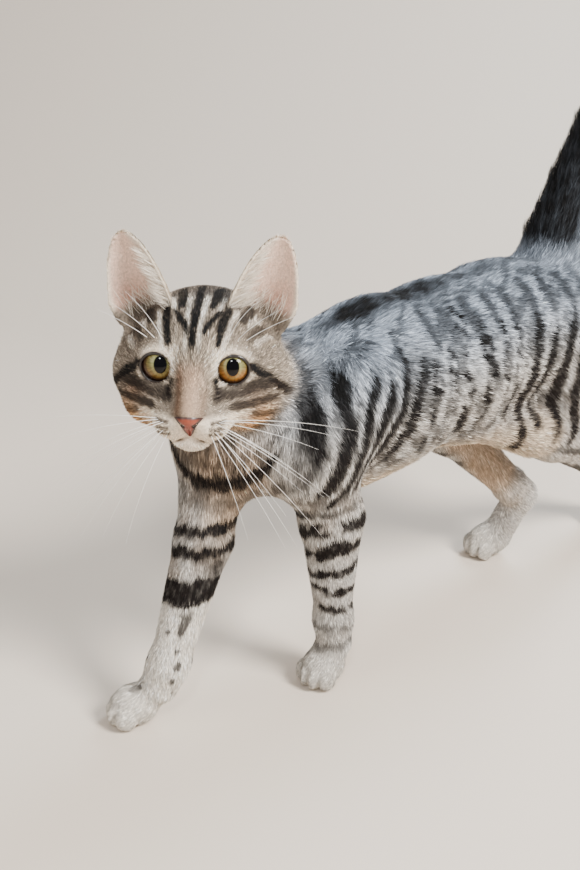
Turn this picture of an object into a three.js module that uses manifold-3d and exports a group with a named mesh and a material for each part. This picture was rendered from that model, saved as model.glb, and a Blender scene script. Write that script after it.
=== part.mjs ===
// A young short-haired tabby cat, standing mid-stride with its head turned to
// its left and its tail raised.  A still, life-size museum model.
//
// Units are millimetres.  The body frame has +X to the cat's left, -Y to where
// the trunk points and +Z up.  The floor is z = 0.  The group is shifted at the
// end so that its origin is on the floor under the middle of its bounding box.
//
// The flesh is described once, as a field: a function that is negative inside
// the animal, zero on the tips of the coat and positive outside.  It is a
// smooth union of tapered capsules (limbs, trunk, tail) and ellipsoids (head,
// paws).  Each node is a loft whose rings are points of that surface, found by
// walking outwards from the middle of the part.

import * as THREE from 'three';
import { LoftGeometry } from 'three/addons/geometries/LoftGeometry.js';
import { mergeVertices } from 'three/addons/utils/BufferGeometryUtils.js';
import Module from 'manifold-3d';

const wasm = await Module();
wasm.setup();

// ---------------------------------------------------------------- dimensions

const GAP = 0.3;                    // clear width of every parting cut
const FLOOR_CENTRE = [ - 4.2, 81.4 ];   // body-frame X, Y that becomes the origin

const HEAD = {
	eyeMiddle: [ 3.6, - 107.4, 199.6 ],   // point midway between the two eyes
	yaw: 42.3,                          // degrees turned to the cat's left
	roll: 0.6                           // degrees its left side is lowered
};

const EYE = { left: 16.9, forward: - 7.6, up: 0, radius: 10 };

const EAR = {
	base: [ 27.5, - 32, 16 ],
	tip: [ 38.5, - 30, 56.5 ],
	halfWidth: 17.8,
	bowl: 14,                           // depth of the cup at its foot
	wall: 2.2,
	root: - 7,                          // how far the foot is set in the skull
	facing: [ 0.3, 1, 0.05 ],
	footAhead: 5                        // how far the foot's edges stand before its middle
};

// Joint centres from the root of the limb to the foot, with the radius there.
const LIMBS = {
	fore_right: {
		joints: [
			[ - 24, - 36, 168 ], [ - 26.5, - 63, 150 ], [ - 18, - 85, 96 ],
			[ - 15, - 113, 34 ], [ - 18, - 117, 22 ]
		],
		radii: [ 28, 28, 15.8, 10.4, 11 ],
		paw: { middle: [ - 26, - 127.5 ], forward: [ - 0.5, - 1 ] }
	},
	fore_left: {
		joints: [ [ 24, - 18, 172 ], [ 24, - 46, 148 ], [ 21, - 30, 104 ], [ 18.5, - 23.5, 40 ], [ 18, - 22, 24 ] ],
		radii: [ 27, 26, 18, 10.3, 10.8 ],
		paw: { middle: [ 16.5, - 28 ], forward: [ 0.05, - 1 ] }
	},
	hind_right: {
		joints: [ [ - 18, 160, 164 ], [ - 22, 120, 106 ], [ - 2, 168, 54 ], [ 0, 178, 45 ], [ - 9, 169, 15 ] ],
		radii: [ 36, 19, 12, 10.3, 10 ],
		paw: { middle: [ - 14, 163.5 ], forward: [ - 0.3, - 1 ] }
	},
	hind_left: {
		joints: [ [ 18, 165, 164 ], [ 25, 170, 104 ], [ 20, 238, 58 ], [ 19, 251, 49 ], [ 16.5, 271, 15 ] ],
		radii: [ 37, 23, 13, 11.5, 10.5 ],
		paw: { middle: [ 16, 266 ], forward: [ 0, - 1 ] }
	}
};

const LIMB_FLATNESS = { fore: 0.9, hind: 0.8 };    // how much narrower sideways
const PAW = { halfWidth: 13.5, length: 15, height: 11.5 };

const TAIL = {
	joints: [
		[ 0, 182, 188 ], [ - 1, 194, 214 ], [ - 1, 211, 246 ], [ 0, 229, 280 ],
		[ 0, 249, 314 ], [ 2, 272, 344 ], [ 5, 297, 361 ]
	],
	radii: [ 26, 21.5, 18.5, 16.5, 15, 12.5, 8.5 ]
};

// --------------------------------------------------------------------- fields

const vec = ( a ) => new THREE.Vector3( ...a );
const radians = THREE.MathUtils.degToRad;

// Tapered capsule from a to b, narrowed sideways by the factor flat.
function capsule( a, b, ra, rb, flat = 1 ) {

	const start = vec( a );
	const axis = vec( b ).sub( start );
	axis.x /= flat;
	const length = axis.length();
	axis.divideScalar( length );
	const slope = ( ra - rb ) / length;
	const slant = slope / Math.sqrt( Math.max( 1 - slope * slope, 1e-6 ) );
	const q = new THREE.Vector3();
	return ( p ) => {

		q.set( ( p.x - start.x ) / flat, p.y - start.y, p.z - start.z );
		const along = q.dot( axis );
		const across = Math.sqrt( Math.max( q.lengthSq() - along * along, 0 ) );
		const t = THREE.MathUtils.clamp( ( along + across * slant ) / length, 0, 1 );
		const reach = Math.hypot( along - t * length, across );
		return ( reach - ( ra + ( rb - ra ) * t ) ) * Math.min( flat, 1 );

	};

}

// Ellipsoid with its radii along x, y and z, or along the given three axes.
function ellipsoid( centre, radii, axes = null ) {

	const c = vec( centre );
	const d = new THREE.Vector3();
	const q = new THREE.Vector3();
	return ( p ) => {

		d.subVectors( p, c );
		if ( axes ) q.set( d.dot( axes[ 0 ] ), d.dot( axes[ 1 ] ), d.dot( axes[ 2 ] ) );
		else q.copy( d );
		const k0 = Math.hypot( q.x / radii[ 0 ], q.y / radii[ 1 ], q.z / radii[ 2 ] );
		const k1 = Math.hypot( q.x / radii[ 0 ] ** 2, q.y / radii[ 1 ] ** 2, q.z / radii[ 2 ] ** 2 );
		return k0 * ( k0 - 1 ) / Math.max( k1, 1e-9 );

	};

}

// Two distances joined with a fillet of about the width k.
function smoothMin( a, b, k ) {

	const h = Math.max( k - Math.abs( a - b ), 0 ) / k;
	return Math.min( a, b ) - h * h * k / 4;

}

// Union of [ field, fillet ] pairs, in order.
function union( first, ...rest ) {

	return ( p ) => rest.reduce( ( d, [ field, k ] ) => smoothMin( d, field( p ), k ), first( p ) );

}

const grow = ( field, by ) => ( p ) => field( p ) - by;

// Chain of tapered capsules through the joints.
function chain( joints, radii, fillet, flat = 1 ) {

	const link = ( i ) => capsule( joints[ i ], joints[ i + 1 ], radii[ i ], radii[ i + 1 ], flat );
	const links = Array.from( { length: joints.length - 1 }, ( _, i ) => link( i ) );
	return union( links[ 0 ], ...links.slice( 1 ).map( ( field ) => [ field, fillet ] ) );

}

// ----------------------------------------------------------------- head frame

const yaw = radians( HEAD.yaw );
const roll = radians( HEAD.roll );
const eyeMiddle = vec( HEAD.eyeMiddle );
const headForward = new THREE.Vector3( Math.sin( yaw ), - Math.cos( yaw ), 0 );
const level = new THREE.Vector3( Math.cos( yaw ), Math.sin( yaw ), 0 );
const upright = new THREE.Vector3( 0, 0, 1 );
const headLeft = level.clone().multiplyScalar( Math.cos( roll ) );
headLeft.addScaledVector( upright, - Math.sin( roll ) );
const headUp = level.clone().multiplyScalar( Math.sin( roll ) );
headUp.addScaledVector( upright, Math.cos( roll ) );

// A point of the head from its distances left, forward and up of the eye middle.
function headPoint( left, forward, up ) {

	const point = eyeMiddle.clone().addScaledVector( headLeft, left );
	return point.addScaledVector( headForward, forward ).addScaledVector( headUp, up );

}

const headDirection = ( left, forward, up ) => headPoint( left, forward, up ).sub( eyeMiddle ).normalize();

// One half of the head serves both: the sideways distance is taken unsigned.
const headParts = union(
	ellipsoid( [ 0, - 40, 4 ], [ 33, 34, 23.5 ] ),                  // crown
	[ ellipsoid( [ 0, - 17, 0.5 ], [ 33.5, 21, 19.5 ] ), 10 ],      // brow and face
	[ ellipsoid( [ 24, - 26, - 10 ], [ 19.5, 21, 19 ] ), 9 ],       // cheek
	[ ellipsoid( [ 0, - 20, - 20 ], [ 22, 24, 15 ] ), 8 ],          // throat and jaw
	[ ellipsoid( [ 13, - 1, - 17 ], [ 13, 12, 9.5 ] ), 7 ],         // fore cheek
	[ ellipsoid( [ 20, - 12, - 20 ], [ 16, 15, 13 ] ), 7 ],         // jowl
	[ capsule( [ 0, - 8, 0.5 ], [ 0, 15.5, - 11.5 ], 12.5, 7.6, 0.9 ), 10 ],   // bridge
	[ ellipsoid( [ 8, 11.5, - 22.5 ], [ 10.2, 10.6, 8.2 ] ), 7 ],   // whisker pad
	[ ellipsoid( [ 0, 9.5, - 31 ], [ 9.2, 8.5, 6 ] ), 5 ],           // chin
	[ ellipsoid( [ 0, 19.5, - 16.2 ], [ 5.4, 6.5, 4.8 ] ), 5 ]      // nose tip
);
const inHead = new THREE.Vector3();
const fromEyes = new THREE.Vector3();
const headField = ( p ) => {

	fromEyes.subVectors( p, eyeMiddle );
	inHead.set( Math.abs( fromEyes.dot( headLeft ) ), fromEyes.dot( headForward ), fromEyes.dot( headUp ) );
	return headParts( inHead );

};

// ---------------------------------------------------------------- body fields

const nape = headPoint( 0, - 44, - 9 ).toArray();
const neckField = union(
	capsule( nape, [ - 13, - 55, 162 ], 30, 36, 0.97 ),
	[ capsule( [ - 12.5, - 60, 153 ], [ - 2, - 20, 158 ], 35.5, 39, 0.95 ), 10 ]
);
const trunkField = union(
	capsule( [ - 3, - 34, 155 ], [ 0, 20, 159 ], 38, 47.5, 0.88 ),
	[ capsule( [ 0, 20, 159.5 ], [ 0, 80, 160.5 ], 48.5, 47, 0.92 ), 12 ],
	[ capsule( [ 8, - 3, 121 ], [ 2, 40, 124 ], 14, 13 ), 12 ],         // loose skin behind the elbow
	[ capsule( [ 0, 80, 160.5 ], [ 0, 135, 166 ], 47, 45, 0.9 ), 12 ],
	[ capsule( [ 19, 82, 130 ], [ 25, 142, 107 ], 12, 17 ), 14 ],       // fold from flank to left thigh
	[ capsule( [ 0, 135, 167 ], [ 0, 178, 173 ], 44.5, 35, 0.9 ), 12 ]
);
const tailField = chain( TAIL.joints, TAIL.radii, 2 );

function pawField( { middle, forward } ) {

	const ahead = new THREE.Vector3( ...forward, 0 ).normalize();
	const left = new THREE.Vector3( - ahead.y, ahead.x, 0 );
	const axes = [ left, ahead, new THREE.Vector3( 0, 0, 1 ) ];
	const { halfWidth, length, height } = PAW;
	const pad = ellipsoid( [ ...middle, height * 0.9 ], [ halfWidth * 0.86, length * 0.9, height ], axes );
	const toes = [ - 0.62, - 0.22, 0.22, 0.62 ].map( ( side ) => {

		const reach = Math.abs( side ) > 0.4 ? 0.42 : 0.62;
		const centre = new THREE.Vector3( ...middle, height * 0.62 );
		centre.addScaledVector( left, side * halfWidth ).addScaledVector( ahead, reach * length );
		return [ ellipsoid( centre.toArray(), [ halfWidth * 0.34, length * 0.42, height * 0.62 ], axes ), 3 ];

	} );
	return union( pad, ...toes );

}

function limbField( name ) {

	const { joints, radii, paw } = LIMBS[ name ];
	const flat = LIMB_FLATNESS[ name.split( '_' )[ 0 ] ];
	const upper = chain( joints.slice( 0, - 2 ), radii.slice( 0, - 2 ), 10, flat );
	const lower = chain( joints.slice( - 3 ), radii.slice( - 3 ), 8 );
	return union( upper, [ lower, 6 ], [ pawField( paw ), 7 ] );

}

const torsoField = union( trunkField, [ neckField, 18 ], [ tailField, 10 ] );
const frontField = union( torsoField, [ headField, 12 ] );

// -------------------------------------------------------------------- lofting

const UP = new THREE.Vector3( 0, 0, 1 );

// How far the surface is from a centre along a ray, no further than the limits,
// which are planes { point, normal } whose positive side is kept.
function reach( field, centre, ray, limits, furthest = 120 ) {

	const p = new THREE.Vector3();
	let stop = furthest;
	for ( const { point, normal } of limits ) {

		const closing = ray.dot( normal );
		const room = p.subVectors( centre, point ).dot( normal );
		if ( closing < - 1e-6 ) stop = Math.min( stop, Math.max( room / - closing, 0.2 ) );

	}

	let inside = 0;
	let outside = 0;
	while ( outside < stop ) {

		outside = Math.min( outside + 1.5, stop );
		if ( field( p.copy( centre ).addScaledVector( ray, outside ) ) > 0 ) break;
		inside = outside;

	}

	if ( inside >= stop ) return stop;
	for ( let i = 0; i < 18; i ++ ) {

		const middle = ( inside + outside ) / 2;
		if ( field( p.copy( centre ).addScaledVector( ray, middle ) ) > 0 ) outside = middle;
		else inside = middle;

	}

	return Math.max( inside, 0.2 );

}

// Solid whose rings lie in planes across a path.  Each station is
// { centre, normal }, and side is a direction that no normal is parallel to.
function tube( field, stations, sides, { limits = [], side = new THREE.Vector3( 1, 0, 0 ) } = {} ) {

	const sections = stations.map( ( { centre, normal } ) => {

		const v = new THREE.Vector3().crossVectors( normal, side ).normalize();
		const u = new THREE.Vector3().crossVectors( v, normal );
		return Array.from( { length: sides }, ( _, i ) => {

			const angle = 2 * Math.PI * i / sides;
			const ray = u.clone().multiplyScalar( Math.cos( angle ) ).addScaledVector( v, Math.sin( angle ) );
			return centre.clone().addScaledVector( ray, reach( field, centre, ray, limits ) );

		} );

	} );
	return new LoftGeometry( sections, { capStart: true, capEnd: true } );

}

// Solid around one centre: rings of rays that open from an axis, pole to pole.
function bulb( field, centre, axis, rings, sides, { limits = [] } = {} ) {

	const side = Math.abs( axis.z ) > 0.9 ? new THREE.Vector3( 0, 1, 0 ) : UP;
	const u = new THREE.Vector3().crossVectors( side, axis ).normalize();
	const v = new THREE.Vector3().crossVectors( axis, u );
	const sections = Array.from( { length: rings }, ( _, j ) => {

		const open = ( j + 0.35 ) / ( rings - 0.3 );
		const polar = Math.PI * ( 1 - open );
		return Array.from( { length: sides }, ( __, i ) => {

			const angle = 2 * Math.PI * i / sides;
			const ray = axis.clone().multiplyScalar( Math.cos( polar ) );
			ray.addScaledVector( u, Math.sin( polar ) * Math.cos( angle ) );
			ray.addScaledVector( v, Math.sin( polar ) * Math.sin( angle ) );
			return centre.clone().addScaledVector( ray, reach( field, centre, ray, limits ) );

		} );

	} );
	return new LoftGeometry( sections, { capStart: true, capEnd: true } );

}

// Evenly spaced stations from one plane to another.
function stationsBetween( from, to, count ) {

	return Array.from( { length: count }, ( _, i ) => {

		const t = i / ( count - 1 );
		return {
			centre: from.centre.clone().lerp( to.centre, t ),
			normal: from.normal.clone().lerp( to.normal, t ).normalize()
		};

	} );

}

const station = ( centre, normal ) => ( { centre: vec( centre ), normal: vec( normal ).normalize() } );
function shifted( { centre, normal }, by ) {

	return { centre: centre.clone().addScaledVector( normal, by ), normal };

}


// ------------------------------------------------------------------- booleans

function solid( geometry ) {

	const bare = new THREE.BufferGeometry().copy( geometry );
	bare.deleteAttribute( 'normal' );
	bare.deleteAttribute( 'uv' );
	const merged = mergeVertices( bare, 1e-4 );
	return new wasm.Manifold( new wasm.Mesh( {
		numProp: 3,
		vertProperties: new Float32Array( merged.attributes.position.array ),
		triVerts: new Uint32Array( merged.index.array )
	} ) );

}

function geometryOf( manifold ) {

	const mesh = manifold.getMesh();
	const geometry = new THREE.BufferGeometry();
	const points = new Float32Array( mesh.vertProperties );
	geometry.setAttribute( 'position', new THREE.BufferAttribute( points, 3 ) );
	geometry.setIndex( new THREE.BufferAttribute( new Uint32Array( mesh.triVerts ), 1 ) );
	return geometry;

}

// The half of space on the positive side of a plane, less half a parting cut.
function halfSpace( { centre, normal } ) {

	const size = 700;
	const box = new THREE.BoxGeometry( size, size, size );
	box.translate( 0, 0, size / 2 + GAP / 2 );
	box.applyQuaternion( new THREE.Quaternion().setFromUnitVectors( UP, normal ) );
	box.translate( ...centre.toArray() );
	return solid( box );

}

const flipped = ( { centre, normal } ) => ( { centre, normal: normal.clone().negate() } );

// ---------------------------------------------------------------- named parts

const cat = new THREE.Group();

function material( color, roughness, metalness = 0 ) {

	return new THREE.MeshStandardMaterial( { color, roughness, metalness } );

}

const coat = material( 0x9a9388, 0.85 );
const paleCoat = material( 0xcfc8bd, 0.85 );
const darkCoat = material( 0x4b4640, 0.85 );
const earSkin = material( 0xcfa893, 0.7 );
const eyeGlass = material( 0x9a9a4e, 0.15 );
const noseLeather = material( 0xb4614a, 0.5 );

function add( name, geometry, finish ) {

	const mesh = new THREE.Mesh( geometry, finish );
	mesh.name = name;
	cat.add( mesh );

}

// Planes where a person would say that one part ends and the next begins.
const neckTop = { centre: headPoint( 0, - 48, - 12 ), normal: headDirection( 0, 0.63, 0.78 ) };
const neckFoot = station( [ - 4, - 34, 158 ], [ - 0.05, - 0.88, 0.46 ] );
const waist = station( [ 0, 92, 161 ], [ 0, 1, 0 ] );
const tailRoot = station( TAIL.joints[ 1 ], [ - 0.04, 0.42, 0.9 ] );

// Fore legs and hind legs.  The upper part of each is let into the trunk as far
// as a plane that leans outwards towards the back.
const INNER_LIMIT = { fore: { top: 17, foot: 3 }, hind: { top: 13, foot: 3 } };
const LIMIT_TOP = 185;
const LIMIT_FOOT = 100;
const SHOULDER_RISE = 20;      // top of the upper arm over the shoulder joint
const HIP_RISE = 30;           // top of the thigh over the hip joint
const ROOT_OUT = 22;           // least distance of a limb's root from the middle
const WRIST_HEIGHT = { fore: 25, hind: 22 };
const PAW_LID = 12;            // height of the paw's shape over its wrist

function innerLimit( kind, sign, by ) {

	const { top, foot } = INNER_LIMIT[ kind ];
	const normal = new THREE.Vector3( sign * ( LIMIT_TOP - LIMIT_FOOT ), 0, foot - top ).normalize();
	const point = new THREE.Vector3( sign * foot, 0, LIMIT_FOOT ).addScaledVector( normal, by );
	return { point, normal };

}

// Plane across the root of a limb, some way over its first joint.
function rootPlane( joint, rise, tilt ) {

	const normal = vec( [ 0, tilt, - 1 ] ).normalize();
	return { centre: joint.clone().addScaledVector( UP, rise ), normal };

}

// A length of limb between two planes, half a parting cut short at each.
function segment( field, from, to, rings, sides ) {

	return tube( field, stationsBetween( shifted( from, GAP / 2 ), shifted( to, - GAP / 2 ), rings ), sides );

}

const segmentNames = { fore: [ 'upper_arm', 'forearm', 'paw' ], hind: [ 'thigh', 'shank', 'foot', 'paw' ] };
const sockets = [];

for ( const name of Object.keys( LIMBS ) ) {

	const [ kind, hand ] = name.split( '_' );
	const sign = hand === 'left' ? 1 : - 1;
	const field = limbField( name );
	const joints = LIMBS[ name ].joints.map( vec );
	const along = joints.slice( 1 ).map( ( joint, i ) => joint.clone().sub( joints[ i ] ).normalize() );
	const parts = segmentNames[ kind ];

	// The plane across each joint splits the angle between its two bones.
	const bend = ( i ) => along[ i - 1 ].clone().add( along[ i ] ).normalize();
	const elbow = { centre: joints[ kind === 'fore' ? 2 : 1 ], normal: bend( kind === 'fore' ? 2 : 1 ) };
	const top = kind === 'fore'
		? [ rootPlane( joints[ 0 ], SHOULDER_RISE, - 0.2 ), { centre: joints[ 1 ], normal: bend( 1 ) } ]
		: [ rootPlane( joints[ 0 ], HIP_RISE, - 0.2 ), rootPlane( joints[ 0 ], 0, - 0.25 ) ];
	for ( const plane of top ) plane.centre.x = sign * Math.max( Math.abs( plane.centre.x ), ROOT_OUT );

	const upper = ( by ) => {

		const last = shifted( elbow, by - GAP / 2 );
		const high = stationsBetween( shifted( top[ 0 ], - by ), top[ 1 ], 4 );
		const low = stationsBetween( top[ 1 ], last, 6 ).slice( 1 );
		const limits = [ innerLimit( kind, sign, - by ) ];
		return tube( grow( field, by ), [ ...high, ...low ], 14, { limits } );

	};

	add( `${ parts[ 0 ] }_${ hand }`, upper( 0 ), coat );
	sockets.push( solid( upper( GAP ) ) );

	const wrist = { centre: joints[ joints.length - 1 ].clone(), normal: vec( [ 0, 0, - 1 ] ) };
	wrist.centre.z = WRIST_HEIGHT[ kind ];
	if ( kind === 'fore' ) {

		add( `${ parts[ 1 ] }_${ hand }`, segment( field, elbow, wrist, 9, 14 ), coat );

	} else {

		const heel = joints[ 2 ].clone().lerp( joints[ 3 ], 0.5 );
		const hock = { centre: heel, normal: along[ 1 ].clone().add( along[ 3 ] ).normalize() };
		add( `${ parts[ 1 ] }_${ hand }`, segment( field, elbow, hock, 8, 14 ), coat );
		add( `${ parts[ 2 ] }_${ hand }`, segment( field, hock, wrist, 5, 12 ), coat );

	}

	// The paw stands on a flat sole at floor level.
	const sole = { point: new THREE.Vector3(), normal: UP };
	const lid = { point: new THREE.Vector3( 0, 0, wrist.centre.z + PAW_LID ), normal: UP.clone().negate() };
	const heart = new THREE.Vector3( ...LIMBS[ name ].paw.middle, PAW.height * 0.75 );
	const ahead = new THREE.Vector3( ...LIMBS[ name ].paw.forward, 0 ).normalize();
	const paw = solid( bulb( field, heart, ahead, 12, 14, { limits: [ sole, lid ] } ) );
	add( `${ kind }_paw_${ hand }`, geometryOf( paw.intersect( halfSpace( wrist ) ) ), paleCoat );

}

// Head, with its jaw, nose, eyes and ears.
const muzzle = headDirection( 0, 1, - 0.12 );
const NOSE = { middle: headPoint( 0, 23.2, - 16.2 ), radii: [ 6, 4, 4.2 ] };

function nosePiece( by ) {

	const radii = NOSE.radii.map( ( r ) => r + by );
	const field = ellipsoid( NOSE.middle.toArray(), radii, [ headLeft, headForward, headUp ] );
	return bulb( field, NOSE.middle, headForward, 6, 10 );

}

const eyeCentre = ( sign ) => headPoint( sign * EYE.left, EYE.forward, EYE.up );

function eyeBall( sign, radius ) {

	const ball = new THREE.SphereGeometry( radius, 14, 10 );
	ball.translate( ...eyeCentre( sign ).toArray() );
	return ball;

}

// An ear is a cup: an arc of skin bowed backwards, narrowing to a round tip.
function earShell( sign, by ) {

	const foot = vec( EAR.base );
	const rise = vec( EAR.tip ).sub( foot );
	const height = rise.length();
	rise.normalize();
	const facing = vec( EAR.facing );
	facing.addScaledVector( rise, - facing.dot( rise ) ).normalize();
	const across = new THREE.Vector3().crossVectors( rise, facing );
	if ( across.x < 0 ) across.negate();
	const heights = [ EAR.root, 4, 13, 22, 30, 37, 41 ].map( ( h ) => h / 42 * height );
	const half = 6;
	const sections = heights.map( ( h ) => {

		const t = THREE.MathUtils.clamp( h / height, 0, 0.999 );
		const width = EAR.halfWidth * Math.sqrt( 1 - t ** 1.3 ) + by;
		const bowl = ( EAR.bowl - 1 ) * ( 1 - t ) ** 0.8 + 1;
		const skin = ( s, thick ) => {

			const lean = 2 * bowl * s / width;
			const skew = thick * Math.hypot( 1, lean * 0.6 );
			const depth = EAR.footAhead * ( 1 - t ) - bowl * ( 1 - s * s ) + skew;
			const local = foot.clone().addScaledVector( across, s * width );
			local.addScaledVector( rise, h < 0 ? h - by : h ).addScaledVector( facing, depth );
			return headPoint( sign * local.x, local.y, local.z );

		};

		const wall = EAR.wall / 2 + by;
		const places = Array.from( { length: half }, ( _, i ) => 2 * ( i + 0.25 ) / ( half - 0.5 ) - 1 );
		const back = places.map( ( s ) => skin( s, - wall ) );
		const front = places.map( ( s ) => skin( - s, wall ) );
		const ring = [ ...back, ...front ];
		return sign > 0 ? ring.reverse() : ring;

	} );
	return new LoftGeometry( sections, { capStart: true, capEnd: true } );

}

// The mouth line parts the jaw from the head.
function jawBlock( by ) {

	const block = new THREE.BoxGeometry( 60, 44, 30 );
	block.translate( 0, 0, - 15 );
	const turn = new THREE.Matrix4().makeBasis( headLeft, headForward.clone().negate(), headUp );
	const place = headPoint( 0, 12, - 28.2 + by );
	block.scale( 1, 1 + by / 22, 1 );
	block.applyMatrix4( turn );
	block.translate( ...place.toArray() );
	return solid( block );

}

const wholeHead = solid( bulb( frontField, headPoint( 0, - 20, - 4 ), muzzle, 22, 28 ) );
let head = wholeHead.intersect( halfSpace( neckTop ) );
const jaw = head.intersect( jawBlock( 0 ) );
head = head.subtract( jawBlock( GAP ) ).subtract( solid( nosePiece( GAP ) ) );
for ( const sign of [ 1, - 1 ] ) {

	head = head.subtract( solid( eyeBall( sign, EYE.radius + GAP ) ) );
	head = head.subtract( solid( earShell( sign, GAP ) ) );

}

for ( const socket of sockets ) head = head.subtract( socket );
add( 'head', geometryOf( head ), coat );
add( 'jaw', geometryOf( jaw ), paleCoat );
add( 'nose', nosePiece( 0 ), noseLeather );
for ( const [ hand, sign ] of [ [ 'left', 1 ], [ 'right', - 1 ] ] ) {

	add( `eye_${ hand }`, eyeBall( sign, EYE.radius ), eyeGlass );
	add( `ear_${ hand }`, earShell( sign, 0 ), earSkin );

}

// Neck, chest and loin, let out for the legs.
const cutFor = ( manifold ) => sockets.reduce( ( rest, socket ) => rest.subtract( socket ), manifold );
const neckPath = stationsBetween( shifted( neckFoot, - 8 ), shifted( neckTop, 10 ), 9 );
const neckSolid = solid( tube( frontField, neckPath, 24 ) );
const neck = neckSolid.intersect( halfSpace( neckFoot ) ).intersect( halfSpace( flipped( neckTop ) ) );
add( 'neck', geometryOf( cutFor( neck ) ), coat );

const chest = segment( torsoField, flipped( neckFoot ), waist, 11, 24 );
add( 'chest', geometryOf( cutFor( solid( chest ) ) ), coat );

// The loin is closed behind by three rings that narrow under the tail.
const rump = [ 190, 199, 206 ].map( ( y ) => station( [ 0, y, 172 ], [ 0, 1, 0 ] ) );
const loinStations = [ ...stationsBetween( shifted( waist, GAP / 2 ), rump[ 0 ], 9 ), rump[ 1 ], rump[ 2 ] ];
const tailFace = shifted( tailRoot, - GAP / 2 );
const tailLimit = { point: tailFace.centre, normal: tailFace.normal.clone().negate() };
const loin = tube( torsoField, loinStations, 24, { limits: [ tailLimit ] } );
add( 'loin', geometryOf( cutFor( solid( loin ) ) ), coat );

// Tail in four lengths.
const tailJoints = TAIL.joints.map( vec );
const TAIL_PARTS = 4;
const TIP_RINGS = [ 5, 7.6 ];      // rings beyond the last joint

function tailPlane( i ) {

	if ( i === 1 ) return tailRoot;
	const normal = tailJoints[ i + 1 ].clone().sub( tailJoints[ i - 1 ] ).normalize();
	return { centre: tailJoints[ i ], normal };

}

for ( let i = 1; i <= TAIL_PARTS; i ++ ) {

	const from = shifted( tailPlane( i ), GAP / 2 );
	const last = i === TAIL_PARTS;
	const to = shifted( tailPlane( i + 1 ), last ? 0 : - GAP / 2 );
	const stations = stationsBetween( from, to, 4 );
	if ( last ) {

		const end = { centre: tailJoints[ 6 ], normal: tailJoints[ 6 ].clone().sub( tailJoints[ 5 ] ).normalize() };
		stations.push( ...stationsBetween( to, end, 3 ).slice( 1 ) );
		stations.push( ...TIP_RINGS.map( ( by ) => shifted( end, by ) ) );

	}

	add( `tail_${ i }`, tube( tailField, stations, 12 ), i > 2 ? darkCoat : coat );

}

cat.position.set( - FLOOR_CENTRE[ 0 ], - FLOOR_CENTRE[ 1 ], 0 );

export default cat;
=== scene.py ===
"""Looks for a life-size young tabby cat, walking with its head turned to its left.

Lengths are worked out in millimetres in the body frame of the part (+X the
cat's left, -Y the way it walks, +Z up) and become metres in the row's frame
when a mesh is made.  The floor and the lamps are given in metres.
"""

import math

import bpy
import numpy as np
from mathutils import Matrix


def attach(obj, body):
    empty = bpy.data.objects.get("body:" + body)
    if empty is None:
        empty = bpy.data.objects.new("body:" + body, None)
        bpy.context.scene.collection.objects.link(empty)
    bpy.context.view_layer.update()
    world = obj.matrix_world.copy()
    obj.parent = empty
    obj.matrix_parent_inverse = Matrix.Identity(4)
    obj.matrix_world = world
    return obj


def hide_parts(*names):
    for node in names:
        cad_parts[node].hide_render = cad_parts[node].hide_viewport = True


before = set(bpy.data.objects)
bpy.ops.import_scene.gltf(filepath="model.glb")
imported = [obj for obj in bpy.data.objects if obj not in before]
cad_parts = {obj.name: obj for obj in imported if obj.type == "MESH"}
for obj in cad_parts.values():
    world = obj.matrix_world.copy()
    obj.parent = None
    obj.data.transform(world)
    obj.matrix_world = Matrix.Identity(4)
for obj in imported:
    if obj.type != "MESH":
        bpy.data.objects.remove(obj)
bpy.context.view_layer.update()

ROW_ORIGIN = np.array([-4.2, 81.4, 0.0])     # body-frame point that is the row's origin
MM = 0.001
rng = np.random.default_rng(11)


def unit(v):
    """Vectors scaled to length one."""
    v = np.asarray(v, float)
    return v / np.maximum(np.linalg.norm(v, axis=-1, keepdims=True), 1e-9)


def arr(*v):
    """Array of floats."""
    return np.array(v, float)


# ----------------------------------------------------------------- dimensions

YAW, ROLL = math.radians(42.3), math.radians(0.6)
EYE_MIDDLE = arr(3.6, -107.4, 199.6)
AHEAD = arr(math.sin(YAW), -math.cos(YAW), 0)
LEVEL = arr(math.cos(YAW), math.sin(YAW), 0)
LEFT = LEVEL * math.cos(ROLL) - arr(0, 0, math.sin(ROLL))
UP = LEVEL * math.sin(ROLL) + arr(0, 0, math.cos(ROLL))
HEAD_AXES = np.array([LEFT, AHEAD, UP])

EYE = arr(16.9, -7.6, 0.0)
EYE_AHEAD = unit((0.13, 1, 0.0))
EYE_ACROSS = unit((1, -0.13, 0.10))
EYE_UP = unit((-0.10, 0, 1.0))

EAR_BASE, EAR_TIP = arr(27.5, -32, 16), arr(38.5, -30, 56.5)
EAR_HEIGHT = np.linalg.norm(EAR_TIP - EAR_BASE)
EAR_RISE = unit(EAR_TIP - EAR_BASE)
EAR_FACING = arr(0.30, 1.0, 0.05)
EAR_FACING = unit(EAR_FACING - EAR_RISE * (EAR_FACING @ EAR_RISE))
EAR_ACROSS = np.cross(EAR_RISE, EAR_FACING)
EAR_ACROSS = EAR_ACROSS * np.sign(EAR_ACROSS[0])

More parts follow.
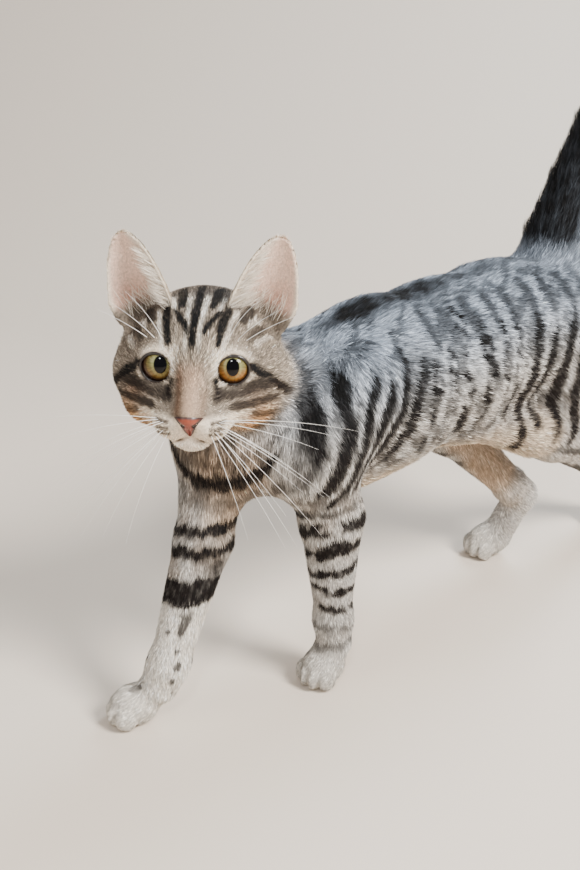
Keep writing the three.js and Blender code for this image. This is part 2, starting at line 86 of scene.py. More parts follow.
LIMBS = {
    "fore_right": dict(
        joints=[(-24, -36, 168), (-26.5, -63, 150), (-18, -85, 96), (-15, -113, 34), (-18, -117, 22)],
        radii=[28, 28, 15.8, 10.4, 11], flat=0.9, paw=(-26, -127.5), toes=(-0.5, -1)),
    "fore_left": dict(
        joints=[(24, -18, 172), (24, -46, 148), (21, -30, 104), (18.5, -23.5, 40), (18, -22, 24)],
        radii=[27, 26, 18, 10.3, 10.8], flat=0.9, paw=(16.5, -28), toes=(0.05, -1)),
    "hind_right": dict(
        joints=[(-18, 160, 164), (-22, 120, 106), (-2, 168, 54), (0, 178, 45), (-9, 169, 15)],
        radii=[36, 19, 12, 10.3, 10], flat=0.8, paw=(-14, 163.5), toes=(-0.3, -1)),
    "hind_left": dict(
        joints=[(18, 165, 164), (25, 170, 104), (20, 238, 58), (19, 251, 49), (16.5, 271, 15)],
        radii=[37, 23, 13, 11.5, 10.5], flat=0.8, paw=(16, 266), toes=(0, -1)),
}
TAIL = np.array([(0, 182, 188), (-1, 194, 214), (-1, 211, 246), (0, 229, 280), (0, 249, 314),
                 (2, 272, 344), (5, 297, 361)], float)
TAIL_RADII = [26, 21.5, 18.5, 16.5, 15, 12.5, 8.5]
PAW = dict(half_width=13.5, length=15, height=11.5)


# --------------------------------------------------------------------- fields

def to_head(p):
    """Distances left, ahead and up of the point midway between the eyes."""
    return (p - EYE_MIDDLE) @ HEAD_AXES.T


def from_head(q):
    """Body-frame point of one given left, ahead and up of the eyes' midpoint."""
    return EYE_MIDDLE + np.asarray(q, float) @ HEAD_AXES


def mirrored(q):
    """The same point on the cat's left half of the head."""
    m = q.copy()
    m[..., 0] = np.abs(m[..., 0])
    return m


def capsule(p, a, b, ra, rb, flat=1.0):
    """Distance to a tapered capsule from a to b, narrowed sideways by flat."""
    a, b = np.array(a, float), np.array(b, float)
    scale = arr(1 / flat, 1, 1)
    a, b, q = a * scale, b * scale, p * scale
    length = np.linalg.norm(b - a)
    axis = (b - a) / length
    q = q - a
    along = q @ axis
    across = np.sqrt(np.maximum((q * q).sum(-1) - along * along, 0))
    slope = (ra - rb) / length
    slant = slope / math.sqrt(max(1 - slope * slope, 1e-6))
    t = np.clip((along + across * slant) / length, 0, 1)
    return (np.hypot(along - t * length, across) - (ra + (rb - ra) * t)) * min(flat, 1.0)


def chain(p, joints, radii, reach, flat=1.0):
    """Capsules from joint to joint, each softly joined to those before it."""
    d = capsule(p, joints[0], joints[1], radii[0], radii[1], flat)
    for i in range(1, len(joints) - 1):
        d = smooth_min(d, capsule(p, joints[i], joints[i + 1], radii[i], radii[i + 1], flat), reach)
    return d


def ellipsoid(p, centre, radii, axes=None):
    """Near-distance to an ellipsoid: k0 (k0 - 1) / k1 of the scaled radii."""
    q = p - np.array(centre, float)
    if axes is not None:
        q = q @ np.asarray(axes).T
    r = np.array(radii, float)
    k0 = np.sqrt(((q / r) ** 2).sum(-1))
    k1 = np.sqrt(((q / (r * r)) ** 2).sum(-1))
    return k0 * (k0 - 1) / np.maximum(k1, 1e-9)


def smooth_min(a, b, k):
    """Smaller of two distances, rounded where they differ by less than k."""
    h = np.maximum(k - np.abs(a - b), 0) / k
    return np.minimum(a, b) - h * h * k * 0.25


def smooth_max(a, b, k):
    """Larger of two distances, rounded the same way."""
    return -smooth_min(-a, -b, k)


def step(x, low, high):
    """0 below low, 1 above high, smooth between."""
    t = np.clip((x - low) / (high - low), 0, 1)
    return t * t * (3 - 2 * t)


def fade(x, low, high):
    """1 below low, 0 above high, smooth between."""
    return step(-x, -high, -low)


def bump(x, at, half):
    """Bell curve: 1 at its place, falling off over half."""
    return np.exp(-((x - at) / half) ** 2)


def polyline(p, points, radii=None):
    """Distance to a chain of straight pieces, less a radius that may vary along it."""
    points = np.array(points, float)
    radii = np.broadcast_to(np.array(0.0 if radii is None else radii, float), (len(points),))
    best = np.full(p.shape[:-1], 1e9)
    for a, b, ra, rb in zip(points[:-1], points[1:], radii[:-1], radii[1:]):
        ab = b - a
        t = np.clip(((p - a) @ ab) / (ab @ ab), 0, 1)
        best = np.minimum(best, np.linalg.norm(p - a - t[..., None] * ab, axis=-1) - (ra + (rb - ra) * t))
    return best


def ear_cup(a, h):
    """Half width of the ear at height h, place s across it in half widths, depth
    of the cup and how far its middle line stands ahead."""
    t = np.clip(h / EAR_HEIGHT, 0, 0.999)
    outer = 17.3 * np.sqrt(1 - t ** 1.3) * (1 - 0.38 * fade(h, -9, 12))
    inner = 17.9 * np.sqrt(1 - t ** 1.6)
    width = np.where(a > 0, outer, inner) + 0.3
    bowl = 13 * (1 - t) ** 0.8 + 1.0
    s = a / width
    return width, s, bowl, 5.0 * (1 - t) - bowl * (1 - np.clip(s, -1.3, 1.3) ** 2)


def ear_field(m, wall=1.0):
    """Cup of skin: depth behind its foot grows with the square of the distance across."""
    r = m - EAR_BASE
    a, h, n = r @ EAR_ACROSS, r @ EAR_RISE, r @ EAR_FACING
    width, s, bowl, middle = ear_cup(a, h)
    slope = 2 * bowl * np.clip(s, -1, 1) / width
    shell = np.abs(n - middle) / np.sqrt(1 + slope ** 2) - wall
    d = smooth_max(shell, np.abs(a) - width, 1.6)
    d = smooth_max(d, h - EAR_HEIGHT + 0.4, 1.0)
    d = smooth_max(d, -(h + 10), 1.0)
    return d * 0.8


def eye_frame(m):
    """Distances across, ahead and up of the eye's centre."""
    e = m - EYE
    return e @ EYE_ACROSS, e @ EYE_AHEAD, e @ EYE_UP


MOUTH = [(0, 19.5, -21.5), (0, 19.0, -27.0), (4.5, 16.5, -29.3), (10, 10.0, -29.0), (15.5, 2.5, -25.5)]


# Lobes of the face, mirrored on the right: centre, radii and reach of the blend into those before.
SKULL_LOBES = [
    ((0, -17, 0.5), (33.5, 21, 19.5), 10),      # brow
    ((24, -26, -10), (19.5, 21, 19), 9),        # side of the head
    ((0, -20, -20), (22, 24, 15), 8),           # throat
    ((13, -1, -17), (13, 12, 9.5), 7),          # under the eye
    ((20, -12, -20), (16, 15, 13), 7),          # cheek
]
MUZZLE_LOBES = [
    ((8, 11.5, -22.5), (10.2, 10.6, 8.2), 7),   # whisker pad
    ((0, 9.5, -31), (9.2, 8.5, 6), 5),          # chin
    ((0, 19.5, -16.2), (5.4, 6.5, 4.8), 5),     # tip of the nose
]


def with_lobes(d, m, lobes):
    """Distance d with ellipsoids joined on, one after another."""
    for centre, radii, reach in lobes:
        d = smooth_min(d, ellipsoid(m, centre, radii), reach)
    return d


def face_field(m):
    """Head without ears, coat tips included, in head coordinates."""
    d = with_lobes(ellipsoid(m, (0, -40, 4), (33, 34, 23.5)), m, SKULL_LOBES)
    d = smooth_min(d, capsule(m, (0, -8, 0.5), (0, 15.5, -11.5), 12.5, 7.6, 0.9), 10)
    return with_lobes(d, m, MUZZLE_LOBES)


# Half sizes of the mound of the lids, of the opening in it and of the ball under the eye.
LID_MOUND, LID_OPENING, LID_BALL = (11.2, 11.2, 10.8), (7.6, 6.9), (9.0, 9.0, 9.0)


def head_skin(m, depth):
    """Skin of the head: the coat's depth below its tips, with lids, mouth and ears."""
    d = face_field(m) + depth
    d = smooth_min(d, ellipsoid(m, EYE, LID_MOUND), 5)
    across, ahead, up = eye_frame(m)
    opening = (np.sqrt((across / LID_OPENING[0]) ** 2 + (up / LID_OPENING[1]) ** 2) - 1) * 7
    d = smooth_max(d, -np.maximum(opening, -ahead), 1.5)
    d = np.minimum(d, ellipsoid(m, EYE, LID_BALL))
    d = smooth_max(d, -polyline(m, MOUTH, [0.5, 0.8, 0.9, 0.9, 0.4]), 1.6)
    return smooth_min(d, ear_field(m), 3.5)


def limb_parts(p, name):
    """Distances to the upper limb, the lower limb and the paw."""
    limb = LIMBS[name]
    joints, radii, flat = limb["joints"], limb["radii"], limb["flat"]
    upper = chain(p, joints[:3], radii[:3], 10, flat)
    lower = chain(p, joints[2:], radii[2:], 8)
    ahead = unit((*limb["toes"], 0))
    side = arr(-ahead[1], ahead[0], 0)
    axes = np.array([side, ahead, arr(0, 0, 1)])
    w, l, h = PAW["half_width"], PAW["length"], PAW["height"]
    middle = arr(*limb["paw"], 0)
    paw = ellipsoid(p, middle + arr(0, 0, h * 0.9), (w * 0.86, l * 0.9, h), axes)
    for s in (-0.62, -0.22, 0.22, 0.62):
        centre = middle + side * s * w + ahead * (0.42 if abs(s) > 0.4 else 0.62) * l + arr(0, 0, h * 0.62)
        paw = smooth_min(paw, ellipsoid(p, centre, (w * 0.34, l * 0.42, h * 0.62), axes), 1.6)
    return upper, lower, paw


def neck_part(p):
    """Neck: one capsule from the skull, blended into one for the throat."""
    d = capsule(p, from_head((0, -44, -9)), (-13, -55, 162), 30, 36, 0.97)
    return smooth_min(d, capsule(p, (-12.5, -60, 153), (-2, -20, 158), 35.5, 39, 0.95), 10)


def trunk_part(p):
    """Trunk: chest, ribs, elbow fold, loin, flank fold and rump as blended capsules."""
    d = capsule(p, (-3, -34, 155), (0, 20, 159), 38, 47.5, 0.88)
    d = smooth_min(d, capsule(p, (0, 20, 159.5), (0, 80, 160.5), 48.5, 47, 0.92), 12)
    d = smooth_min(d, capsule(p, (8, -3, 121), (2, 40, 124), 14, 13), 12)
    d = smooth_min(d, capsule(p, (0, 80, 160.5), (0, 135, 166), 47, 45, 0.90), 12)
    d = smooth_min(d, capsule(p, (19, 82, 130), (25, 142, 107), 12, 17), 14)
    return smooth_min(d, capsule(p, (0, 135, 167), (0, 178, 173), 44.5, 35, 0.90), 12)


PART_NAMES = ["head", "ear", "neck", "trunk", "tail"]
PART_NAMES += [f"{n}.{s}" for n in LIMBS for s in ("upper", "lower", "paw")]
# Depth of the coat over the skin, length, width and lift of its hairs, by part.
COAT = {
    "head": (1.0, 3.6, 0.21, 0.30), "ear": (0.3, 2.4, 0.19, 0.16), "neck": (2.6, 6.8, 0.30, 0.30),
    "trunk": (2.2, 7.0, 0.31, 0.25), "tail": (3.0, 9.0, 0.32, 0.38),
    "upper": (1.9, 5.8, 0.28, 0.26), "lower": (1.2, 3.8, 0.24, 0.26), "paw": (0.8, 2.6, 0.21, 0.26),
}
COAT_TABLE = np.array([COAT[n.split(".")[-1]] for n in PART_NAMES])


def part_distances(p):
    """Distance to the surface of each part, in the order of PART_NAMES."""
    m = mirrored(to_head(p))
    rows = [face_field(m), ear_field(m), neck_part(p), trunk_part(p), chain(p, TAIL, TAIL_RADII, 2)]
    for name in LIMBS:
        rows += list(limb_parts(p, name))
    return np.stack(rows)


def part_weights(distances, reach=4.0):
    """Share of each part at a point, falling off as its surface gets farther."""
    w = np.exp(-(distances - distances.min(0)) / reach)
    return w / w.sum(0)


def skin_field(p):
    """Skin of the whole cat: negative inside."""
    m = mirrored(to_head(p))
    rows = part_distances(p)
    neck, trunk, tail = rows[2:5]
    depth = (part_weights(rows) * COAT_TABLE[:, :1]).sum(0)
    depth = depth * (1 - 0.5 * np.exp(-((m - arr(0, 18, -20)) ** 2).sum(-1) / 14 ** 2))
    body = smooth_min(smooth_min(trunk, neck, 18), tail, 10)
    for upper, lower, paw in rows[5:].reshape(len(LIMBS), 3, -1):
        leg = smooth_min(smooth_min(upper, lower, 6), paw, 7)
        body = smooth_min(body, leg, 12)
    body = smooth_max(body, -p[..., 2], 2.0)
    return smooth_min(body + depth, head_skin(m, depth), 12)


# ----------------------------------------------------------------- skin mesh

def grid_lines(stops, cells):
    """Grid lines between stops, each stretch with its own cell size."""
    lines = [np.linspace(a, b, max(int(round((b - a) / c)), 1), endpoint=False)
             for a, b, c in zip(stops[:-1], stops[1:], cells)]
    return np.concatenate(lines + [[stops[-1]]])


CORNERS = [(i, j, k) for i in (0, 1) for j in (0, 1) for k in (0, 1)]


def corner_views(grid):
    """Values at each of the eight corners of every cell."""
    nx, ny, nz = (n - 1 for n in grid.shape)
    return [grid[i:nx + i, j:ny + j, k:nz + k] for i, j, k in CORNERS]


def band_values(field, axes, stride=4):
    """Field on the grid, worked out only in the blocks that the surface may cross."""
    shape = tuple(len(a) for a in axes)
    coarse = [np.unique(np.r_[np.arange(0, n, stride), n - 1]) for n in shape]
    corners = np.stack(np.meshgrid(*[a[c] for a, c in zip(axes, coarse)], indexing="ij"), -1)
    value = field(corners.reshape(-1, 3)).reshape(corners.shape[:3])
    low = np.minimum.reduce(corner_views(np.abs(value)))
    size = [np.diff(a[c]) for a, c in zip(axes, coarse)]
    across, along, upward = size[0][:, None, None], size[1][None, :, None], size[2][None, None, :]
    half = 0.5 * np.sqrt(across ** 2 + along ** 2 + upward ** 2)
    live_block = low < half + 1.5
    index = [np.clip(np.searchsorted(c, np.arange(n), side="right") - 1, 0, len(c) - 2)
             for c, n in zip(coarse, shape)]
    live = live_block[np.ix_(*index)]
    nearest = [np.clip(np.round(np.interp(a, a[c], np.arange(len(c)))).astype(int), 0, len(c) - 1)
               for a, c in zip(axes, coarse)]
    grid = np.sign(value)[np.ix_(*nearest)] * 9.0
    # a point on the face of a live block is worked out too
    for axis in range(3):
        on_line = np.zeros(shape[axis], bool)
        on_line[coarse[axis]] = True
        before = np.roll(live, 1, axis)
        mask = on_line.reshape([-1 if a == axis else 1 for a in range(3)])
        live = live | (before & mask)
    where = np.argwhere(live)
    for chunk in np.array_split(where, max(len(where) // 150000, 1)):
        p = np.stack([a[chunk[:, i]] for i, a in enumerate(axes)], -1)
        grid[tuple(chunk.T)] = field(p)
    return grid


def level_surface(field, axes):
    """Closed mesh where the field is zero: one point in each crossed cell, at
    the mean of its edge crossings, and one quad across each crossed edge."""
    g = band_values(field, axes)
    inside = g < 0
    count = np.sum(corner_views(inside), axis=0, dtype=np.int8)
    active = (count > 0) & (count < 8)
    cell = np.argwhere(active)
    number = np.full(count.shape, -1, np.int64)
    number[active] = np.arange(len(cell))
    total = np.zeros((len(cell), 3))
    hits = np.zeros(len(cell))
    for a in CORNERS:
        for axis in range(3):
            if a[axis]:
                continue
            b = tuple(1 if n == axis else a[n] for n in range(3))
            ia, ib = cell + a, cell + b
            fa, fb = g[tuple(ia.T)], g[tuple(ib.T)]
            cross = (fa < 0) != (fb < 0)
            t = np.where(cross, fa / np.where(cross, fa - fb, 1), 0)[:, None]
            pa = np.stack([x[ia[:, n]] for n, x in enumerate(axes)], -1)
            pb = np.stack([x[ib[:, n]] for n, x in enumerate(axes)], -1)
            total += np.where(cross[:, None], pa + (pb - pa) * t, 0)
            hits += cross
    points = total / hits[:, None]
    quads = []
    for axis in range(3):
        o1, o2 = [n for n in range(3) if n != axis]
        start, end = [slice(1, -1)] * 3, [slice(1, -1)] * 3
        start[axis], end[axis] = slice(0, -1), slice(1, None)
        fa, fb = inside[tuple(start)], inside[tuple(end)]
        edge = np.argwhere(fa != fb)
        start_inside = fa[tuple(edge.T)]
        ring = []
        for d1, d2 in ((0, 0), (1, 0), (1, 1), (0, 1)):
            c = edge.copy()
            c[:, o1] += d1
            c[:, o2] += d2
            ring.append(number[tuple(c.T)])
        ring = np.stack(ring, -1)
        outward = start_inside if axis != 1 else ~start_inside
        quads.append(np.where(outward[:, None], ring, ring[:, ::-1]))
    return points, np.concatenate(quads)


def slope_of(field, p, h=0.25):
    """Gradient by four samples at the corners of a small tetrahedron."""
    k = np.array([(1, -1, -1), (-1, -1, 1), (-1, 1, -1), (1, 1, 1)], float)
    g = np.zeros_like(p)
    for d in k:
        g += d * field(p + d * h)[:, None]
    return g / (4 * h)


def settle(field, p, rounds=2, furthest=0.7):
    """Points moved onto the surface along its slope, and the normals there."""
    for _ in range(rounds):
        g = slope_of(field, p)
        move = field(p)[:, None] * g / np.maximum((g * g).sum(-1, keepdims=True), 0.2)
        size = np.linalg.norm(move, axis=-1, keepdims=True)
        p = p - move * np.minimum(1, furthest / np.maximum(size, 1e-9))
    return p, unit(slope_of(field, p))


# ------------------------------------------------------------------- markings

def srgb(*c):
    """Linear colour of one given in display values."""
    c = np.array(c, float)
    return np.where(c <= 0.04045, c / 12.92, ((c + 0.055) / 1.055) ** 2.4)


def ripple(p, size, seed=0.0):
    """Smooth pseudo-noise in -1..1: products of sines at odd angles."""
    k = 2 * math.pi / size
    x, y, z = p[..., 0] * k, p[..., 1] * k, p[..., 2] * k
    return (np.sin(x * 0.83 + y * 0.41 + seed) * np.sin(y * 0.77 - z * 0.53 + 2.1 * seed + 1)
            + np.sin(z * 0.91 + x * 0.37 + 3.3 * seed) * np.sin(y * 0.63 + x * 0.59 - seed + 2)
            + np.sin(x * 1.7 - z * 1.3 + seed) * np.sin(y * 1.9 + z * 0.7 + seed)) / 2.2


def ripples(p, size, *seeds):
    """Ripples of one size as the parts of a vector."""
    return np.stack([ripple(p, size, seed) for seed in seeds], -1)


def bars_along(place, across, first, pitch, count, half, soft=1.0):
    """Strength 0..1 of a row of bars, one every pitch from first.

    place runs along the row.  across runs from -1 to 1 between the two ends
    of every bar, and the bars narrow towards both.
    """
    nearest = np.clip(np.round((place - first) / pitch), 0, count - 1)
    off = np.abs(place - first - nearest * pitch) - half * (1 - 0.45 * across ** 2)
    return (1 - step(off, -0.6 * soft, soft)) * (1 - step(np.abs(across), 0.86, 1.0))


# Forehead lines counted out from the middle one: where each begins and ends
# ahead of the eyes, its half width and its strength.
FOREHEAD_LINES = [
    (5, -46, 2.2, 1.0), (-18, -44, 2.2, 1.0), (1, -26, 1.9, 1.0), (-15, -36, 2.1, 0.8), (-8, -28, 1.5, 0.6),
]
FAN_PITCH, FAN_SPREAD, FAN_MIDDLE = 5.6, 0.08, -1.0
# The slanting strokes of the M open backwards from the bridge of the nose.
VEE_FRONT, VEE_BACK, VEE_OPENING, VEE_HALF = -1.0, -19.0, 0.45, 1.6
# Cheek lines as seen from the front, out from the midline and up: both ends, half width, strength.
CHEEK_LINES = [
    ((26, 2), (42, -16), 1.8, 1.0),     # back from the eye's outer corner
    ((12, -10), (33, -8), 3.0, 0.85),   # under the eye
    ((18, -15), (36, -16), 1.6, 0.85),  # top of the cheek
    ((26, -20), (38, -25), 1.4, 0.75),  # middle of the cheek
    ((27, -30), (39, -29), 2.0, 0.8),   # jaw
    ((10, -4), (11, -11), 1.3, 1.0),    # down from the inner corner
]


def forehead(q, between=0.0):
    """Lines that fan back over the crown; between 0.5 gives the gaps beside them."""
    left, ahead, up = q.T
    gap = FAN_PITCH - FAN_SPREAD * np.minimum(ahead, 0)
    fan = np.abs(left - FAN_MIDDLE) / gap - between
    nearest = np.clip(np.round(fan), 0, len(FOREHEAD_LINES) - 1).astype(int)
    front, back, half, strength = np.array(FOREHEAD_LINES, float)[nearest].T
    across = (2 * ahead - front - back) / (front - back)
    off = np.abs(fan - nearest) * gap - half * (1 - 0.45 * across ** 2) * (1 - between)
    line = strength * (1 - step(off, -0.6, 1.0)) * (1 - step(np.abs(across), 0.9, 1.0))
    return line * step(up, 2, 7)


def face_dark(q):
    """Dark strokes of the face: the fan, the M's slants and the cheek lines."""
    left, ahead, up = q.T
    out = np.abs(left)
    across = (2 * ahead - VEE_FRONT - VEE_BACK) / (VEE_FRONT - VEE_BACK)
    slant = out - 3.0 - VEE_OPENING * (VEE_FRONT - ahead)
    dark = np.maximum(forehead(q), bars_along(slant, across, 0, 1, 1, VEE_HALF) * step(up, 2, 7))
    front_view = np.stack([out, up], -1)
    for near, far, half, strength in CHEEK_LINES:
        d = polyline(front_view, [near, far]) - half
        dark = np.maximum(dark, strength * (1 - step(d, -0.6, 1.0)) * step(ahead, -32, -24))
    return dark


def whisker_root(side, row, back):
    """Root in one of three rows on the whisker pad, back 0..1 away from the nose."""
    return arr(side * (10.5 - 0.5 * row + 4.5 * back), 19 + 0.5 * row - 3.5 * back, -19.2 - 2.6 * row)


def whisker_dots(m):
    """Dark dots where the whiskers grow."""
    dots = np.zeros(len(m))
    for row in range(3):
        for back in (0.0, 0.45, 0.9):
            centre = whisker_root(1, row, back)
            off = np.hypot(m[:, 0] - centre[0], m[:, 2] - centre[2]) + 9 * fade(m[:, 1], 5, 9)
            dots = np.maximum(dots, 1 - step(off, 0.7, 1.4))
    return dots


# Bars of the trunk, as places along the body: first, pitch, count, half width,
# top, foot, and how far each leans back for every millimetre up.
SHOULDER_BARS = (-63, 13.5, 6, 4.4, 192, 126, 0.40)
RIB_BARS = (20, 16, 6, 4.8, 196, 128, 0.10)
HAUNCH_BARS = (117, 16, 5, 5.0, 188, 102, 0.06)
# The bars fade out where the shoulder turns forward and the rump turns back.
SHOULDER_TURN, RUMP_TURN = (-76, -62), (184, 196)
# Spots beside the spine: first, pitch, count, half width.
BACK_SPOTS = (30, 18, 9, 4.6)
RIGHT_SHIFT = 4.5    # how far the bars of the right flank stand ahead of the left one's
LEAN_LEVEL = 160     # height at which a leaning bar stands at its own place
# The necklace hangs from both sides of the neck: level of its lowest point, half width, strength.
COLLAR_MIDDLE, COLLAR_RISE, COLLAR_REACH = -7, 0.02, 36
COLLAR_ROWS = [(135, 4.8, 1.0), (147, 2.0, 0.7), (121, 3.0, 0.55)]
# Hoops of the left fore leg: lowest, pitch, count.  Bands of the right: height, half width.
LEFT_HOOPS = (27, 12.5, 8)
RIGHT_BANDS = [(109, 3.0), (98, 3.2), (77, 6.6)]
# Heights over which marks fade in upwards; over those named TOP they fade out.
SPOT_RISE, FLECK_RISE, TWIN_RISE, SPINE_RISE = (178, 188), (172, 190), (184, 194), (188, 198)
FAINT_FOOT, FAINT_TOP = (112, 132), (178, 206)
TAIL_ROOT, TIP_RISE, HOCK_RISE = (204, 216), (325, 340), (24, 40)
KNEE_TOP, ELBOW_TOP = (94, 108), (114, 126)
# Lines of the back: half width, place beside the spine, and where along the body they start.
SPINE_HALF, TWIN_AT, TWIN_HALF = 6.0, 15, 4.0
SPINE_START, TWIN_START = (-40, -20), (10, 26)
# Sideways places over which the hoops of the hind legs fade in outwards.
HIND_OUTER = {"hind_left": (-4, 14), "hind_right": (6, 16)}


def trunk_bars(p, row):
    """One row of leaning bars on both flanks, set off a little on the right.

    Slow ripples make their spacing uneven and let each end at its own height.
    """
    first, pitch, count, half, top, foot, lean = row
    x, y, z = p.T
    place = y + RIGHT_SHIFT * (1 - step(x, -12, 12)) - lean * (z - LEAN_LEVEL)
    place = place + 3.0 * ripple(p, 70, 1)
    across = (2 * z - top - foot) / (top - foot) + 0.3 * ripple(p * arr(0.3, 1, 0.3), 34, 5)
    sides = step(y, *SHOULDER_TURN) * (1 - step(y, *RUMP_TURN))
    return bars_along(place, across, first, pitch, count, half, 2.4) * sides


def collar(p):
    """Necklace rows: each keeps its height above a curve that rises to both sides."""
    x, y, z = p.T
    hang = z - COLLAR_RISE * (x - COLLAR_MIDDLE) ** 2
    across = (x - COLLAR_MIDDLE) / COLLAR_REACH
    rows = [strength * bars_along(hang, across, level, 1, 1, half, 1.6)
            for level, half, strength in COLLAR_ROWS]
    return np.maximum.reduce(rows) * fade(y, -62, -52)


def fore_leg_bands(p, left_leg, right_leg):
    """Hoops up the left fore leg; bands over spots on the right one."""
    x, _, z = p.T
    first, pitch, count = LEFT_HOOPS
    place = z - 0.35 * (x - 20) * step(z, 60, 110) + 3.0 * ripple(p, 48, 2)
    half = 2.0 + 1.6 * step(z, 60, 100)
    hoops = bars_along(place, np.zeros(len(p)), first, pitch, count, half, 1.5)
    hoops = hoops * (0.6 + 0.4 * step(z, 44, 54)) * step(ripple(p, 22, 5), -0.8, -0.4)
    bands = np.maximum.reduce([bars_along(z - 0.1 * x, np.zeros(len(p)), at, 1, 1, half, 1.5)
                               for at, half in RIGHT_BANDS])
    spots = step(ripple(p * arr(1, 1, 0.8), 21, 4), 0.30, 0.42) * step(z, 18, 24) * fade(z, 64, 70)
    inner = 0.9 * spot(p, (-4, -88, 87), (6, 9, 13))
    return np.maximum(hoops * left_leg, np.maximum.reduce([bands, 0.85 * spots, inner]) * right_leg)


SILVER, COOL, BROWN = srgb(0.76, 0.745, 0.72), srgb(0.64, 0.68, 0.73), srgb(0.55, 0.48, 0.41)
BUFF, WHITE, BLACK = srgb(0.72, 0.58, 0.43), srgb(0.95, 0.92, 0.87), srgb(0.035, 0.03, 0.035)
UMBER, GREY_BROWN, EAR_PINK = srgb(0.125, 0.085, 0.06), srgb(0.33, 0.27, 0.215), srgb(0.93, 0.80, 0.72)
SLATE, CREAM = srgb(0.36, 0.40, 0.45), srgb(0.95, 0.88, 0.79)


def mix(a, b, t):
    """Colours a turned towards b by t."""
    return a + (b - a) * np.clip(t, 0, 1)[:, None]


def layered(colour, *layers):
    """Colours with layers laid over them in turn, each a colour and its strength."""
    for tint, strength in layers:
        colour = mix(colour, tint, strength)
    return colour


def spot(q, centre, radii):
    """Soft round stain: exp of minus the squared scaled distance."""
    return np.exp(-(((q - np.array(centre, float)) / np.array(radii, float)) ** 2).sum(-1))


def face_ground(q, colour, head):
    """Ground colours of the head under its dark strokes, and where its bridge and muzzle are."""
    left, ahead, up = q.T
    m = mirrored(q)
    # side: the dark stains beside the forehead and under the eye are stronger on the cat's right, as painted
    # shade of the half turned from the light
    side = 1 - 0.35 * step(left, -4, 10)
    ring = np.linalg.norm((m - EYE) * arr(1, 0.5, 1), axis=-1)
    bridge = bump(left, 0, 5.5) * step(ahead, 4, 12) * fade(up, 2, 9)
    # painted shade beside the bridge of the nose: strong on the cat's right, faint and low on its left
    shade = bump(left, -5.5, 2.0) * step(ahead, 3, 9) * fade(up, 2, 8)
    shade = shade + 0.45 * bump(left, 6.0, 1.6) * step(ahead, 9, 14) * fade(up, -8, -2)
    muzzle = fade(up, -18.5, -15.5) * step(ahead, -2, 9)
    colour = layered(
        colour,
        (srgb(0.52, 0.47, 0.41), 0.95 * head),
        # side of the forehead, crown and back of the head
        (srgb(0.27, 0.22, 0.18), head * 0.9 * spot(m, (29, -24, 11), (12, 20, 11)) * side),
        (srgb(0.24, 0.22, 0.21), head * 0.85 * spot(q, (0, -34, 26), (22, 22, 16))),
        (GREY_BROWN, head * 0.55 * fade(ahead, -48, -30)),
        # under the eye, over its inner corner and round it
        (srgb(0.30, 0.21, 0.15), head * 0.75 * spot(m, (27, -2, -12), (10, 10, 5)) * side),
        (CREAM, head * 0.8 * spot(m, (11, 1, 5), (5.0, 8, 6.5))),
        (CREAM, head * 0.75 * (1 - step(ring, 9.3, 12.0))),
        # bridge of the nose, and painted shade at its sides, deeper on the cat's right
        (srgb(0.72, 0.60, 0.50), head * 0.8 * bridge),
        (srgb(0.38, 0.27, 0.20), head * 0.75 * shade * step(up, -19, -15)),
        # muzzle, lower cheek and chin
        (CREAM, head * 0.92 * muzzle),
        (srgb(0.82, 0.60, 0.38), head * 0.75 * spot(m, (27, -4, -25), (10, 12, 7))),
        (srgb(0.92, 0.86, 0.79), head * 0.9 * fade(up, -31, -28) * step(ahead, -2, 7)))
    return colour, bridge, muzzle


def ear_ground(m, colour, ear):
    """Ears: pale and pink within the cup, cream at the rim, grey-brown behind;
    and where the inside of the cup is."""
    r = m - EAR_BASE
    h, n, a = r @ EAR_RISE, r @ EAR_FACING, r @ EAR_ACROSS
    _, s, _, middle = ear_cup(a, h)
    within = step(n - middle, -0.5, 0.4)
    # brownish pink low in the cup: the skin's own pink there, darkened as painted shade in the hollow
    pink_foot_and_shade = spot(np.stack([a, h], -1), (7, 6), (7, 9))
    inside = layered(EAR_PINK, (srgb(0.80, 0.58, 0.49), 0.75 * pink_foot_and_shade),
                     (srgb(0.95, 0.90, 0.84), 0.75 * fade(s, -0.7, -0.1)),
                     (srgb(0.97, 0.91, 0.82), step(np.abs(s), 0.80, 0.98)))
    edge = 0.8 * step(np.abs(s), 0.86, 1.0) + step(h, EAR_HEIGHT - 5, EAR_HEIGHT - 2)
    outside = layered(GREY_BROWN, (BLACK, 0.55 * step(h, 14, 40) + 0.25), (srgb(0.90, 0.81, 0.70), edge))
    return mix(colour, mix(outside, inside, within), ear * step(h, 2, 9)), within


def below_elbow(part):
    """Share of each limb's lower part and paw together."""
    return {n: part[n + ".lower"] + part[n + ".paw"] for n in LIMBS}


def flank_marks(p, warped, below):
    """Bars of the shoulder, ribs and haunch, and the spots beside the spine."""
    broken = step(ripple(warped * arr(0.5, 1, 0.5), 19, 4.0), -0.35, 0.05)
    spots = bars_along(warped[:, 1], (np.abs(p[:, 0]) - 27) / 10, *BACK_SPOTS, 2.4)
    rows = [trunk_bars(warped, SHOULDER_BARS), trunk_bars(warped, RIB_BARS) * broken,
            trunk_bars(0.5 * (p + warped), HAUNCH_BARS), 0.85 * (spots * step(p[:, 2], *SPOT_RISE))]
    return np.maximum.reduce(rows) * (1 - below)


